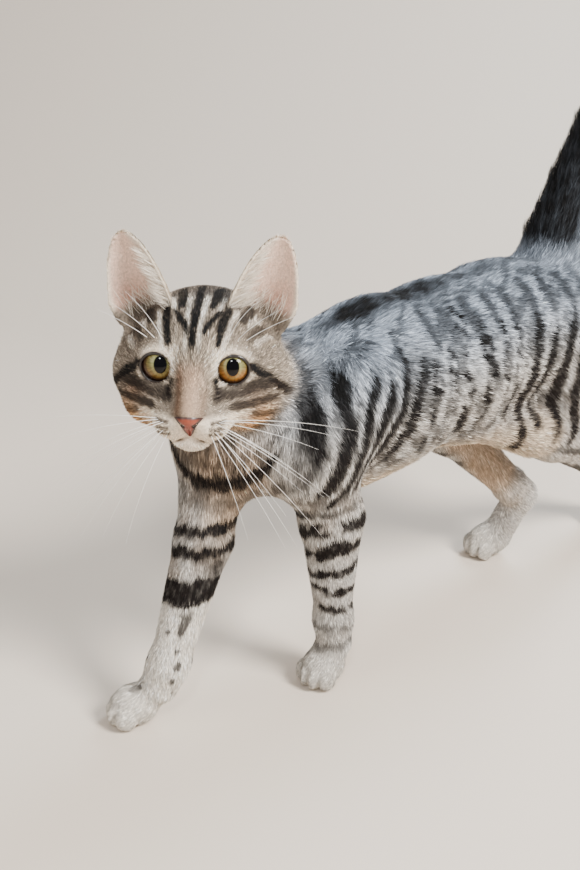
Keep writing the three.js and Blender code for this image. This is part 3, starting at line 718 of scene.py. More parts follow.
def faint_marks(p, warped, below, neck):
    """Bars of the trunk and the neck, taller than long, and flecks of the back, between the strokes."""
    _, y, z = p.T
    bars = step(ripple(warped * arr(0.6, 1.0, 0.42), 12.5, 7.0), 0.0, 0.28)
    bars = bars * step(z, *FAINT_FOOT) * fade(z, *FAINT_TOP) * (1 - below)
    neck_bars = step(ripple(warped * arr(1.0, 1.0, 0.35), 8.5, 2.0), -0.02, 0.26)
    neck_bars = neck_bars * neck * fade(y, -50, -24)
    flecks = step(ripple(warped * arr(1, 0.7, 1), 15, 9.0), 0.02, 0.34) * step(z, *FLECK_RISE)
    return [0.72 * bars, 0.60 * neck_bars, 0.75 * flecks]


def back_lines(p):
    """Line down the spine, broader over the ribs, and a broken one on each side of it."""
    x, y, z = p.T
    half = SPINE_HALF + SPINE_HALF * step(y, -16, 4) * fade(y, 58, 84)
    spine = np.exp(-((x - 1) / half) ** 4) * step(z, *SPINE_RISE) * step(y, *SPINE_START)
    spine = spine * (0.68 + 0.30 * step(y, -20, 0) * fade(y, 60, 84) + 0.30 * ripple(p, 30, 3))
    twin = bump(np.abs(x), TWIN_AT, TWIN_HALF) * step(z, *TWIN_RISE)
    twin = twin * step(ripple(p * arr(0.2, 1, 0.2), 30, 6), -0.2, 0.2) * step(y, *TWIN_START)
    return [np.clip(spine, 0, 1), 0.75 * twin]


def hind_leg_hoops(p, part, wave):
    """Hoops on the outer side of both hind legs, below the knee and just above it."""
    x, y, z = p.T
    dark = np.zeros(len(p))
    for n, sign in (("hind_left", 1), ("hind_right", -1)):
        along = z + 0.35 * y * sign
        outer = step(x * sign, *HIND_OUTER[n])
        hoops = step(np.sin(along * 0.42 + 0.9 * wave + sign), 0.0, 0.7)
        dark = np.maximum(dark, part[n + ".lower"] * hoops * 0.8 * outer * step(z, *HOCK_RISE))
        dark = np.maximum(dark, part[n + ".upper"] * fade(z, *KNEE_TOP) * hoops * 0.8 * outer)
    return dark


def tail_marks(p, tail):
    """Line along the back of the tail, rings round it and a dark tip."""
    x, y, z = p.T
    rings = step(np.sin(((z - 190) + 0.25 * (y - 182)) * 0.30 - 0.6), 0.1, 0.6)
    dorsal = step(-(y - np.interp(z, TAIL[:, 2], TAIL[:, 1])) * 0.9 - 0.45 * x, -4, 5)
    marks = np.maximum.reduce([0.95 * dorsal, 0.7 * rings, step(z, *TIP_RISE)])
    return tail * marks * step(z, *TAIL_ROOT)


def body_dark(p, part, wave):
    """Strength 0..1 of the dark tabby pattern away from the head."""
    lower = below_elbow(part)
    below = sum(lower.values())
    warped = p + 1.8 * ripples(p, 15, 2, 5, 8)
    near_elbow = fade(p[:, 2], *ELBOW_TOP)
    left_leg, right_leg = (lower[n] + part[n + ".upper"] * near_elbow for n in ("fore_left", "fore_right"))
    torso = [flank_marks(p, warped, below), *faint_marks(p, warped, below, part["neck"]), *back_lines(p)]
    marks = [np.maximum.reduce(torso) * (1 - part["tail"]), collar(warped) * (1 - below),
             fore_leg_bands(warped, left_leg, right_leg), hind_leg_hoops(p, part, wave),
             tail_marks(p, part["tail"])]
    return np.clip(np.maximum.reduce(marks), 0, 1)


def markings(p, share):
    """Coat colour at points, and the strength of its ticking there.

    share holds the weight of each part.  The ground runs from cool silver on
    the back, its blue cast painted cool light from the sky, to buff on the belly;
    dark strokes and rings lie over it.
    """
    part = dict(zip(PART_NAMES, share))
    q = to_head(p)
    m = mirrored(q)
    left, ahead, up = q.T
    head = part["head"] + part["ear"]
    body = 1 - head
    lower = below_elbow(part)
    x, y, z = p.T
    wave = ripple(p, 26, 1.0)

    belly = fade(z, 114, 130) * (part["trunk"] + part["neck"])
    belly = belly + 0.6 * fade(z, 118, 150) * step(26 - np.abs(x), 0, 12) * part["trunk"]
    throat = part["neck"] * step(-(y - 0.3 * x), 62, 84) * fade(z, 150, 172)
    inner = sum(part[n + ".upper"] for n in LIMBS) * step(16 - np.abs(x), 0, 10) * fade(z, 110, 150)
    paws = sum(part[n + ".paw"] for n in LIMBS)
    # behind: darker grey on the neck just behind and under the head, partly the coat's own dark there and
    # partly painted shadow of the head
    behind = part["neck"] * (1 - step(face_field(m), 3, 20)) * step(up, -34, -24)
    colour = layered(
        SILVER,
        # the darker slate grey on top of the back is the coat's own; its blue cast is painted cool sky light
        (COOL, step(z, 150, 196) * body),
        (SLATE, 0.55 * step(z, 186, 204) * body),
        (BROWN, (0.30 + 0.3 * wave) * fade(z, 120, 175) * body),
        (srgb(0.80, 0.72, 0.62), 0.75 * belly),
        (BUFF, 0.6 * throat),
        (BUFF, 0.55 * inner),
        # the right fore leg's pale lower coat, made whiter as painted light from the front
        (WHITE, 0.62 * lower["fore_right"] * fade(z, 66, 88)),
        (SILVER * 0.85, 0.6 * (lower["fore_left"] + lower["hind_right"] + lower["hind_left"])),
        (WHITE * 0.66, 0.75 * paws),
        (srgb(0.34, 0.34, 0.35), 0.6 * behind))
    colour, bridge, muzzle = face_ground(q, colour, head)
    fine = np.clip(ripple(p, 1.9, 3.0) + 0.7 * ripple(p, 3.7, 1.0), -1, 1)
    tall = ripple(p * arr(1, 1, 0.5), 4.6, 6.0)
    salt = head * (1 - 0.75 * muzzle) * (1 - 0.7 * bridge) * 0.46 * fine
    salt = salt + body * (1 - 0.6 * paws) * 0.16 * (0.5 * fine + tall)
    colour = colour * np.clip(1 + salt, 0.3, 1.5)[:, None]

    dark = body_dark(p, part, wave) * body
    ink = mix(BLACK, UMBER, 0.40 * fade(z, 140, 190) * body)
    colour = mix(colour, ink, dark * (1 + 0.12 * ripple(p, 7, 4.0)))
    wobble = q + 0.6 * ripples(p, 6, 1, 3, 6)
    pale = 0.6 * forehead(wobble, 0.5) * step(ahead, -34, -26) * head
    colour = mix(colour, srgb(0.90, 0.86, 0.80), pale)
    nape = head * fade(ahead, -50, -42) * step(up, -12, 4) * step(np.cos(left * 0.62), 0.2, 0.8)
    broken = np.clip(1.12 + 0.45 * ripple(q, 3.1, 2.0), 0.5, 1)
    face = np.maximum(face_dark(wobble) * broken * head, 0.85 * nape)
    colour = mix(colour, mix(BLACK, UMBER, 0.6 * fade(up, -10, -4)), face)
    colour = mix(colour, UMBER, 0.9 * whisker_dots(m) * head)
    # dark brown along the mouth: partly the lip's own dark line, partly painted shade in its crease
    colour = mix(colour, srgb(0.22, 0.12, 0.09), head * 0.7 * (1 - step(polyline(m, MOUTH), 0.5, 1.5)))
    rim = np.linalg.norm(np.stack(eye_frame(m)[::2], -1) / arr(8.2, 7.5), axis=-1)
    near_eye = (1 - step(np.linalg.norm(m - EYE, axis=-1), 11.4, 13.0)) * (1 - step(rim, 0.98, 1.10))
    colour = mix(colour, srgb(0.12, 0.08, 0.06), 0.95 * near_eye * head)
    colour, within = ear_ground(m, colour, part["ear"])
    pads = fade(z, 0.4, 1.6) * paws
    colour = mix(colour, srgb(0.34, 0.22, 0.20), 0.9 * pads)
    tick = 0.20 + 0.42 * head * (1 - 0.8 * bridge) * (1 - 0.8 * muzzle) * (1 - face)
    tick = tick + 0.12 * body * (1 - dark)
    return np.clip(colour, 0, 1), tick * (1 - 0.8 * part["ear"] * within)


# ---------------------------------------------------------------- mesh making

def placed(name, data):
    """Object in the scene that shows the data."""
    made = bpy.data.objects.new(name, data)
    bpy.context.scene.collection.objects.link(made)
    return made


def new_mesh(name, points, faces, smooth=True):
    """Mesh object from points in body-frame millimetres; faces all have the same number of corners."""
    mesh = bpy.data.meshes.new(name)
    points = (np.asarray(points, float) - ROW_ORIGIN) * MM
    faces = np.asarray(faces)
    mesh.vertices.add(len(points))
    mesh.vertices.foreach_set("co", points.astype(np.float32).ravel())
    mesh.loops.add(faces.size)
    mesh.loops.foreach_set("vertex_index", faces.astype(np.int32).ravel())
    mesh.polygons.add(len(faces))
    mesh.polygons.foreach_set("loop_start", np.arange(0, faces.size, faces.shape[1], dtype=np.int32))
    mesh.polygons.foreach_set("use_smooth", np.full(len(faces), smooth))
    mesh.update(calc_edges=True)
    return placed(name, mesh)


def paint(piece, colour, finish):
    """One colour, or one for each point, and the material that shows it."""
    layer = piece.data.color_attributes.new("coat_colour", "FLOAT_COLOR", "POINT")
    rgba = np.ones((len(piece.data.vertices), 4), np.float32)
    rgba[:, :3] = colour
    layer.data.foreach_set("color", rgba.ravel())
    piece.data.materials.append(finish)


def give_uv(piece, uv):
    """One UV pair for each point, carried to the corners."""
    layer = piece.data.uv_layers.new(name="OFBake")
    corner = np.zeros(len(piece.data.loops), np.int32)
    piece.data.loops.foreach_get("vertex_index", corner)
    layer.data.foreach_set("uv", uv[corner].astype(np.float32).ravel())


def material(name, **values):
    """Principled material with constants on its own sockets."""
    made = bpy.data.materials.new(name)
    made.use_nodes = True
    shader = made.node_tree.nodes["Principled BSDF"]
    for key, value in values.items():
        socket = shader.inputs[key.replace("_", " ")]
        is_colour = socket.type == "RGBA" and np.ndim(value) and len(value) == 3
        socket.default_value = (*value, 1.0) if is_colour else value
    return made, made.node_tree, shader


def link(tree, a, out, b, into):
    """Wire from one node's output to another's input."""
    tree.links.new(a.outputs[out], b.inputs[into])


def node(tree, kind, **inputs):
    """Shader node with its inputs set."""
    made = tree.nodes.new("ShaderNode" + kind)
    for key, value in inputs.items():
        made.inputs[key].default_value = value
    return made


def show_paint(tree, shader, darkest, lightest, **grain):
    """Base colour from the piece's coat_colour, varied by a noise, which is given back."""
    colour = node(tree, "VertexColor")
    colour.layer_name = "coat_colour"
    noise = node(tree, "TexNoise", **grain)
    link(tree, node(tree, "TexCoord"), "Object", noise, "Vector")
    spread = {"From Min": 0.3, "From Max": 0.7, "To Min": darkest, "To Max": lightest}
    level = node(tree, "MapRange", **spread)
    link(tree, noise, "Fac", level, "Value")
    scale = tree.nodes.new("ShaderNodeVectorMath")
    scale.operation = "SCALE"
    link(tree, colour, "Color", scale, 0)
    link(tree, level, "Result", scale, "Scale")
    link(tree, scale, "Vector", shader, "Base Color")
    return noise


def painted(name, **values):
    """Material that takes its colour from the piece's own coat_colour."""
    made, tree, shader = material(name, **values)
    show_paint(tree, shader, 0.93, 1.07, Scale=700.0, Detail=2.0)
    return made


def coat_material(name, grain_scale, bump, roughness, strength=0.25):
    """Painted coat colour, broken by fine noise, with a fine bump of lying hairs."""
    made, tree, shader = material(name, Roughness=roughness, Specular_IOR_Level=0.16)
    noise = show_paint(tree, shader, 1 - strength, 1 + strength,
                       Scale=grain_scale, Detail=4.0, Roughness=0.6)
    if bump:
        rise = node(tree, "Bump", Strength=0.5, Distance=bump)
        link(tree, noise, "Fac", rise, "Height")
        link(tree, rise, "Normal", shader, "Normal")
    return made


# ----------------------------------------------------------------------- skin

SHADE_UNDER_COAT = 0.8     # brightness of the skin as a share of the coat's: painted shade between the hairs
# Stops and cell sizes of the grid along each axis, finest round the head and the paws.
SKIN_GRID = [
    grid_lines([-60, 52], [1.25]),
    grid_lines([-148, -96, -24, 300], [1.0, 1.2, 2.6]),
    grid_lines([-1.5, 26, 150, 228, 262, 376], [1.5, 2.6, 1.15, 1.25, 2.9]),
]
skin_points, skin_quads = level_surface(skin_field, SKIN_GRID)
skin_points, skin_normals = settle(skin_field, skin_points)
skin_points[:, 2] = np.maximum(skin_points[:, 2], 0.0)
skin_share = part_weights(part_distances(skin_points), 3.0)
skin_colour, _ = markings(skin_points, skin_share)
skin = new_mesh("cat_skin", skin_points, skin_quads)
paint(skin, skin_colour * SHADE_UNDER_COAT, coat_material("skin_under_coat", 900.0, 0.0004, 0.7))
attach(skin, "root")
flesh = [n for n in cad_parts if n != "nose" and not n.startswith("eye_")]
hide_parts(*flesh)


# ----------------------------------------------------------------------- coat

HAIR_BUDGET = 465000
PIECE_HAIRS = 66000
# How far hairs swirl together and stray singly, and the spread of their lengths, lifts and widths.
SWIRL, STRAY = 0.16, 0.10
LENGTHS, LIFTS, WIDTHS = (0.75, 1.2), (0.6, 1.4), (0.8, 1.2)
# Brightness at the root, at the tip and at the tip of a banded hair.
# The dark root is painted shade deep in the coat and the slightly lighter tip is painted light at its
# surface; the banded tip is the hair's own dark band.
ROOT_SHADE_PAINTED, TIP_TONE, BAND_TONE = 0.62, 1.08, 0.45


def lie_of_coat(p, share):
    """Direction in which the coat lies: away from the nose on the head, along
    each part's own length elsewhere, blended by the share of each part."""
    q = to_head(p)
    away = unit(q - arr(0, 26, -13)) + 0.25 * arr(0, -1, 0)
    lay = share[0][:, None] * (away @ HEAD_AXES)
    side = np.sign(q[:, :1])
    rise = np.where(side > 0, 1.0, -1.0) * EAR_RISE[0]
    ear_dir = np.concatenate([rise, np.full_like(rise, EAR_RISE[1]), np.full_like(rise, EAR_RISE[2])], 1)
    lay += share[1][:, None] * (ear_dir @ HEAD_AXES)
    sag = np.clip(np.abs(p[:, :1]) / 40, 0, 1)
    front = fade(p[:, 1], -80, -40)[:, None]
    down_neck = np.concatenate([0 * sag, 0.8 - 0.6 * front, -0.35 * sag - 0.9 * front], 1)
    lay += share[2][:, None] * unit(down_neck)
    lay += share[3][:, None] * unit(np.concatenate([0 * sag, 1 + 0 * sag, -0.35 * sag], 1))
    height = p[:, 2]
    k = np.clip(np.searchsorted(TAIL[:, 2], height) - 1, 0, len(TAIL) - 2)
    lay += share[4][:, None] * unit(TAIL[k + 1] - TAIL[k])
    for i, name in enumerate(LIMBS):
        joints = np.array(LIMBS[name]["joints"], float)
        row = 5 + 3 * i
        lay += share[row][:, None] * (unit(joints[2] - joints[0]) + arr(0, 0.45, 0))
        lay += share[row + 1][:, None] * (unit(joints[3] - joints[2]) + arr(0, 0.15, 0))
        lay += share[row + 2][:, None] * unit(arr(*LIMBS[name]["toes"], -0.6))
    return lay


def sow(triangles, weights, count):
    """Random roots on triangles: which triangle, and its three corner shares."""
    pick = rng.choice(len(triangles), count, p=weights / weights.sum())
    u, v = rng.random(count), rng.random(count)
    flip = u + v > 1
    u, v = np.where(flip, 1 - u, u), np.where(flip, 1 - v, v)
    return triangles[pick], np.stack([1 - u - v, u, v], -1)


ROOT_SINK = 0.25     # depth of a hair's root in the skin


def blades(root, normal, lay, length, width, lift, roll):
    """Five points of each hair: two at the root, two half-way and the tip.

    The hair rises at 1.3 times its lift, then bends down to 0.3 of it; its
    half width is 0.35, 0.5 and 0 of the width along the way.
    """
    across = unit(np.cross(lay, normal))
    flat = across * np.cos(roll)[:, None] + normal * np.sin(roll)[:, None]
    half = (length * 0.5)[:, None]
    first = lay * np.cos(1.3 * lift)[:, None] + normal * np.sin(1.3 * lift)[:, None]
    last = lay * np.cos(0.3 * lift)[:, None] + normal * np.sin(0.3 * lift)[:, None]
    base = root - normal * ROOT_SINK
    middle = base + first * half
    tip = middle + last * half
    w = width[:, None]
    return np.stack([base - flat * w * 0.35, base + flat * w * 0.35,
                     middle + flat * w * 0.5, middle - flat * w * 0.5, tip], 1)


BLADE_POINTS = 5
BLADE_FACES = np.array([(0, 1, 2), (0, 2, 3), (3, 2, 4)])
BLADE_PATCH = 0.003     # size of each hair's place on the unwrap


def blade_mesh(name, points):
    """Mesh of hairs from the five points of each."""
    first = np.arange(len(points))[:, None, None] * BLADE_POINTS
    return new_mesh(name, points.reshape(-1, 3), (first + BLADE_FACES).reshape(-1, 3))


def around(p, centre, axis, up):
    """Unwrap about an axis: angle round it, distance along it."""
    axis, up = unit(axis), unit(up)
    side = np.cross(axis, up)
    r = p - centre
    return np.arctan2(r @ side, r @ up) / (2 * math.pi) + 0.5, r @ axis


def unwrap(p, kind):
    """Place on an unwrap of the skin for each stretch of coat, in 0.01..0.99."""
    if kind == "head":
        u, v = around(p, from_head((0, -25, -5)), AHEAD, UP)
    elif kind == "ear":
        q = to_head(p)
        r = mirrored(q) - EAR_BASE
        u, v = (r @ EAR_ACROSS + 60 * np.sign(q[:, 0]), r @ EAR_RISE)
        u = (u - u.min()) / (np.ptp(u) + 1e-9)
    elif kind == "body":
        u, v = around(p, arr(0, 0, 160), (0, 1, 0), (0, 0, -1))
    else:
        u, v = around(p, np.median(p, 0), (0, 0, 1), (0, 1, 0))
    v = (v - v.min()) / (np.ptp(v) + 1e-9)
    return 0.01 + 0.98 * np.stack([u, v], -1)


def skin_sheets():
    """Triangles of the skin, their areas and their middles."""
    tri = np.concatenate([skin_quads[:, [0, 1, 2]], skin_quads[:, [0, 2, 3]]])
    a, b, c = (skin_points[tri[:, i]] for i in range(3))
    area = 0.5 * np.linalg.norm(np.cross(b - a, c - a), axis=-1)
    return tri, area, (a + b + c) / 3


tri, tri_area, tri_middle = skin_sheets()
tri_share = skin_share[:, tri].mean(2)
tri_normal = unit(skin_normals[tri].mean(1))
tri_head = mirrored(to_head(tri_middle))
tri_look = (tri_share[:, :, None] * COAT_TABLE[:, None, :]).sum(0)
density = tri_area / (tri_look[:, 1] * tri_look[:, 2])

# no hair grows in the eye, on the nose leather, on the soles or in the mouth, little in the ear
CUP_HAIR = 0.16
eye_across, eye_ahead, eye_up = eye_frame(tri_head)
in_eye = (np.hypot(eye_across / 8.3, eye_up / 7.6) < 1) & (eye_ahead > 0) & (eye_ahead < 16)
on_nose = (np.abs(tri_head[:, 0]) < 5.2) & (tri_head[:, 1] > 15)
on_nose &= (tri_head[:, 2] < -14.5) & (tri_head[:, 2] > -24)
sole = (tri_middle[:, 2] < 2.0) & (tri_normal[:, 2] < -0.5)
in_mouth = polyline(tri_head, MOUTH) < 0.9
r = tri_head - EAR_BASE
flip = np.where(to_head(tri_middle)[:, :1] < 0, [[-1, 1, 1]], [[1, 1, 1]])
cup = (tri_share[1] > 0.6) & ((tri_normal @ HEAD_AXES.T * flip) @ EAR_FACING > 0.15)
density = np.where(in_eye | on_nose | sole | in_mouth, 0, density)
density = np.where(cup, density * CUP_HAIR, density)

label = np.argmax(tri_share, 0)
is_head, is_ear = label == 0, label == 1
is_body = (label == 2) | (label == 3)
is_tail = label == 4
is_fore, is_hind = (label >= 5) & (label < 11), label >= 11
left_half = to_head(tri_middle)[:, 0] > 0
x_mid, y_mid = tri_middle[:, 0], tri_middle[:, 1]


def halves(name, mask, left, kind):
    """The left and the right half of a stretch."""
    return {name + "_left": (mask & left, kind), name + "_right": (mask & ~left, kind)}


STRETCHES = {
    **halves("coat_head", is_head, left_half, "head"),
    "coat_ears": (is_ear, "ear"),
    **halves("coat_front", is_body & (y_mid < 40), x_mid > 0, "body"),
    **halves("coat_back", is_body & (y_mid >= 40), x_mid > 0, "body"),
    **halves("coat_fore_leg", is_fore, x_mid > 1, "leg"),
    **halves("coat_hind_leg", is_hind, x_mid > 4, "leg"),
    "coat_tail": (is_tail, "leg"),
}
hair_finish = coat_material("tabby_hair", 300.0, 0, 0.7, 0.12)
vertex_lay = lie_of_coat(skin_points, skin_share)
for name, (mask, kind) in STRETCHES.items():
    weights = np.where(mask, density, 0)
    count = int(min(HAIR_BUDGET * weights.sum() / density.sum(), PIECE_HAIRS))
    corners, shares = sow(tri, weights, count)

    def blend(values):
        """Value at each root, between its triangle's corners."""
        return (values[corners] * shares[..., None]).sum(1)

    root, normal = blend(skin_points), unit(blend(skin_normals))
    share = blend(skin_share.T).T
    lay = blend(vertex_lay)
    lay = unit(lay) + SWIRL * ripples(root, 9, 1.7, 3.1, 5.3) + rng.normal(0, STRAY, (count, 3))
    # hairs lie flat, but at the end of the tail they run on along it and close over the tip
    upright = (unit(lay) * normal).sum(-1)
    flat = 1 - share[PART_NAMES.index("tail")] * step(upright, 0.3, 0.8)
    lay = unit(lay - normal * flat[:, None] * (lay * normal).sum(-1, keepdims=True))
    _, length, width, lift = (share.T @ COAT_TABLE).T
    q = mirrored(to_head(root))
    near_eye = step(np.linalg.norm(q - EYE, axis=-1), 9, 19)
    near_nose = step(np.linalg.norm(q - arr(0, 20, -17), axis=-1), 6, 26)
    short = 1 - share[0] * (1 - (0.35 + 0.65 * near_eye) * (0.35 + 0.65 * near_nose))
    ruff = 1 + 0.8 * share[0] * step(-q[:, 2], 12, 26) * fade(q[:, 1], -24, -8)
    length = length * short * ruff * rng.uniform(*LENGTHS, count)
    lift = lift * rng.uniform(*LIFTS, count) * (0.55 + 0.45 * short)
    width = width * rng.uniform(*WIDTHS, count) * (0.6 + 0.4 * short)
    colour, tick = markings(root, share)
    shade = np.exp(rng.normal(0, 0.10, count) + tick * rng.normal(0, 1.0, count))
    banded = rng.random(count) < 0.5 * tick
    points = blades(root, normal, lay, length, width, lift, rng.normal(0, 0.35, count))
    # painted shade at the root, painted light at a plain tip, the hair's own dark band at a banded tip
    root_painted_shade, tip_shade = ROOT_SHADE_PAINTED * shade, shade * np.where(banded, BAND_TONE, TIP_TONE)
    tone = np.stack([root_painted_shade, root_painted_shade, shade, shade, tip_shade], 1)
    hue = np.clip(colour[:, None, :] * tone[..., None], 0.004, 1)
    coat = blade_mesh(name, points)
    paint(coat, hue.reshape(-1, 3), hair_finish)
    at = unwrap(root, kind)
    patch = BLADE_PATCH * (np.array([(0, 0), (1, 0), (1, 0.5), (0, 0.5), (0.5, 1)]) - 0.5)
    give_uv(coat, (at[:, None] + patch).reshape(-1, 2))
    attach(coat, "root")


# -------------------------------------------------- eyes, nose, whiskers, ears

def grid_faces(rows, columns, wrap=False):
    """Quads of a grid of points, its columns closed into a ring if wrap."""
    i = np.arange(rows - 1)[:, None]
    j = np.arange(columns if wrap else columns - 1)[None]
    k = (j + 1) % columns
    here, below = i * columns, (i + 1) * columns
    return np.stack([here + j, here + k, below + k, below + j], -1).reshape(-1, 4)


def tubes(paths, radii, sides=6, closed=False):
    """Round tubes along paths (tube, station, xyz): a circle of the given
    radius at each station, square to the path."""
    if closed:
        along = np.roll(paths, -1, 1) - np.roll(paths, 1, 1)
    else:
        along = np.gradient(paths, axis=1)
    along = unit(along)
    side = unit(np.cross(along, arr(0.31, 0.22, 0.93)))
    other = np.cross(along, side)
    turn = 2 * math.pi * np.arange(sides) / sides
    circle = side[:, :, None] * np.cos(turn)[:, None] + other[:, :, None] * np.sin(turn)[:, None]
    points = paths[:, :, None] + circle * radii[:, :, None, None]
    count, stations = paths.shape[:2]
    faces = grid_faces(stations, sides, True)
    if closed:
        j = np.arange(sides)
        last, k = (stations - 1) * sides, (j + 1) % sides
        faces = np.concatenate([faces, np.stack([last + j, last + k, k, j], -1)])
    offset = np.arange(count)[:, None, None] * stations * sides
    return points.reshape(-1, 3), (faces[None] + offset).reshape(-1, 4)


GAZE = unit((0.12, 0.965, 0.21))
EYE_RADIUS, IRIS, LIMBUS = 9.75, 7.1, 8.0
PUPIL = (3.05, 4.25)
CORNEA_RISE, CORNEA_SPREAD = 0.55, 0.62


def eye_piece(name, side, shade):
    """Eyeball: a sphere about the gaze, its radius swelling at the cornea; rings
    by the angle from the gaze, columns round it.  shade is how amber its foot is."""
    rings, columns = 84, 168
    angle = np.linspace(0.004, 1.75, rings)[:, None]
    turn = np.linspace(0, 2 * math.pi, columns, endpoint=False)[None]
    swell = EYE_RADIUS + CORNEA_RISE * np.exp(-(angle / CORNEA_SPREAD) ** 4)
    right = unit(np.cross(GAZE, arr(0, 0, 1)))
    above = np.cross(right, GAZE)
    a, b = np.sin(angle) * np.cos(turn) * swell, np.sin(angle) * np.sin(turn) * swell
    c = np.cos(angle) * swell * np.ones_like(turn)
    q = EYE * arr(side, 1, 1) + a[..., None] * right + b[..., None] * above + c[..., None] * GAZE
    faces = grid_faces(rings, columns, True)[:, ::-1]
    points = from_head(q.reshape(-1, 3))
    # iris: fibres run outwards, olive by the pupil and amber at the foot
    across, high = a.ravel(), b.ravel()
    away = np.hypot(across, high) * np.where(c.ravel() > 0, 1, 9)
    hole = np.hypot(across / PUPIL[0], high / PUPIL[1])
    spin = np.arctan2(high, across)
    fibre = sum(np.sin(spin * k + p + 1.3 * np.sin(away * f)) for k, p, f in
                ((23, 0.3, 0.9), (41, 1.9, 0.7), (67, 4.0, 1.3), (97, 2.2, 0.5), (13, 5.1, 1.1))) / 5
    t = step(away, 2.6, IRIS)
    low = fade(high, -5.0, 1.0) + 0.5 * step(across * -side, 1, 6)
    iris = layered(srgb(0.50, 0.52, 0.36), (srgb(0.44, 0.38, 0.21), t), (srgb(0.62, 0.40, 0.17), shade * low))
    iris = 0.80 * iris * (1 + 0.65 * fibre * step(away, 2.2, 4))[:, None]
    colour = layered(
        iris,
        (srgb(0.62, 0.58, 0.36), 0.35 * bump(hole, 1.25, 0.14)),
        # dark ring at the iris's edge, and painted shadow of the upper lid over its top
        (srgb(0.20, 0.13, 0.08), 0.8 * step(away, IRIS - 1.1, IRIS) + 0.25 * step(high, 2, 7)),
        (srgb(0.16, 0.10, 0.08), step(away, IRIS, LIMBUS)))
    colour = mix(srgb(0.015, 0.015, 0.02), colour, step(hole, 0.93, 1.06))
    piece = new_mesh(name, points, faces)
    paint(piece, colour, eye_gloss)
    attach(piece, "root")
    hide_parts(name)


eye_gloss = painted("eye_gloss", Roughness=0.4, Specular_IOR_Level=0.0,
                    Coat_Weight=0.8, Coat_Roughness=0.015, Coat_IOR=1.36)
eye_piece("eye_left", 1, 0.85)
eye_piece("eye_right", -1, 0.35)

# dark rims of the lids, drawn out at the inner corners
LID_STATIONS = 72
INNER_CORNER = 3.75     # where round the rim the inner corner is
turn = np.linspace(0, 2 * math.pi, LID_STATIONS, endpoint=False)
inner = bump(np.arctan2(np.sin(turn - INNER_CORNER), np.cos(turn - INNER_CORNER)), 0, 0.30)
rim_across = 7.75 * np.cos(turn) * (1 + 0.10 * inner)
rim_up = 7.05 * np.sin(turn) * (1 + 0.16 * inner)
rim_ahead = np.sqrt(np.maximum(10.9 ** 2 - rim_across ** 2 - rim_up ** 2, 25)) - 0.35
rim = EYE + rim_across[:, None] * EYE_ACROSS + rim_ahead[:, None] * EYE_AHEAD + rim_up[:, None] * EYE_UP
rims = np.stack([from_head(rim), from_head(rim * arr(-1, 1, 1))])
rim_radii = np.broadcast_to(0.62 + 0.15 * np.sin(turn) + 0.25 * inner, (2, LID_STATIONS))
lid_points, lid_faces = tubes(rims, rim_radii, 10, closed=True)
lids = new_mesh("lid_rims", lid_points, lid_faces)
paint(lids, srgb(0.10, 0.07, 0.06), painted("lid_rim", Roughness=0.35, Coat_Weight=0.3))
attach(lids, "root")

# nose leather: a shield, wide at the top, pressed on the tip of the face
NOSE_ROWS, NOSE_COLUMNS = 49, 61
NOSE_HALF, NOSE_TOP, NOSE_HEIGHT = 6.4, -14.3, 12.2
u, v = np.meshgrid(np.linspace(-1, 1, NOSE_COLUMNS), np.linspace(0, 1, NOSE_ROWS))
half = NOSE_HALF * (1 - v) ** 0.85 * (1 - 0.25 * np.sin(math.pi * v)) + 0.45
level = NOSE_TOP - NOSE_HEIGHT * v - 1.6 * u ** 2 * (1 - v) ** 2
nose = np.stack([u * half, 25 + 0 * u, level], -1).reshape(-1, 3)
for _ in range(12):
    nose[:, 1] -= 0.8 * face_field(mirrored(nose))
uu, vv = u.ravel(), v.ravel()
nostril = np.exp(-((np.abs(uu) - 0.60) / 0.17) ** 2 - ((vv - 0.40) / 0.10) ** 2)
nostril += 0.8 * np.exp(-((np.abs(uu) - 0.86) / 0.14) ** 2 - ((vv - 0.30) / 0.09) ** 2)
edge = np.maximum(np.abs(uu), np.maximum(1 - 2.2 * vv, 0))
groove = bump(uu * half.ravel(), 0, 0.35) * step(vv, 0.45, 0.7)
nose[:, 1] += 0.7 * (1 - edge ** 4) - 1.5 * np.clip(nostril, 0, 1) - 0.4 * groove - 0.15
dark_edge = np.maximum(step(np.abs(uu) + 0.25 * vv ** 2, 0.62, 0.88), fade(vv, 0.02, 0.12))
leather = layered(
    srgb(0.50, 0.20, 0.13),
    # lighter upper part of the leather: painted highlight
    (srgb(0.58, 0.29, 0.19), 0.4 * fade(vv, 0.1, 0.4)),
    (srgb(0.13, 0.06, 0.05), dark_edge * 0.94),
    # nostrils painted near black as painted shade inside them, and the groove a little darker as painted
    # shade in its crease
    (srgb(0.06, 0.03, 0.03), np.clip(1.3 * nostril, 0, 1)),
    (srgb(0.40, 0.18, 0.15), 0.7 * groove))
nose_piece = new_mesh("nose_leather", from_head(nose), grid_faces(NOSE_ROWS, NOSE_COLUMNS)[:, ::-1])
paint(nose_piece, leather, painted("nose_gloss", Roughness=0.42, Coat_Weight=0.15))
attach(nose_piece, "root")
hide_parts("nose")

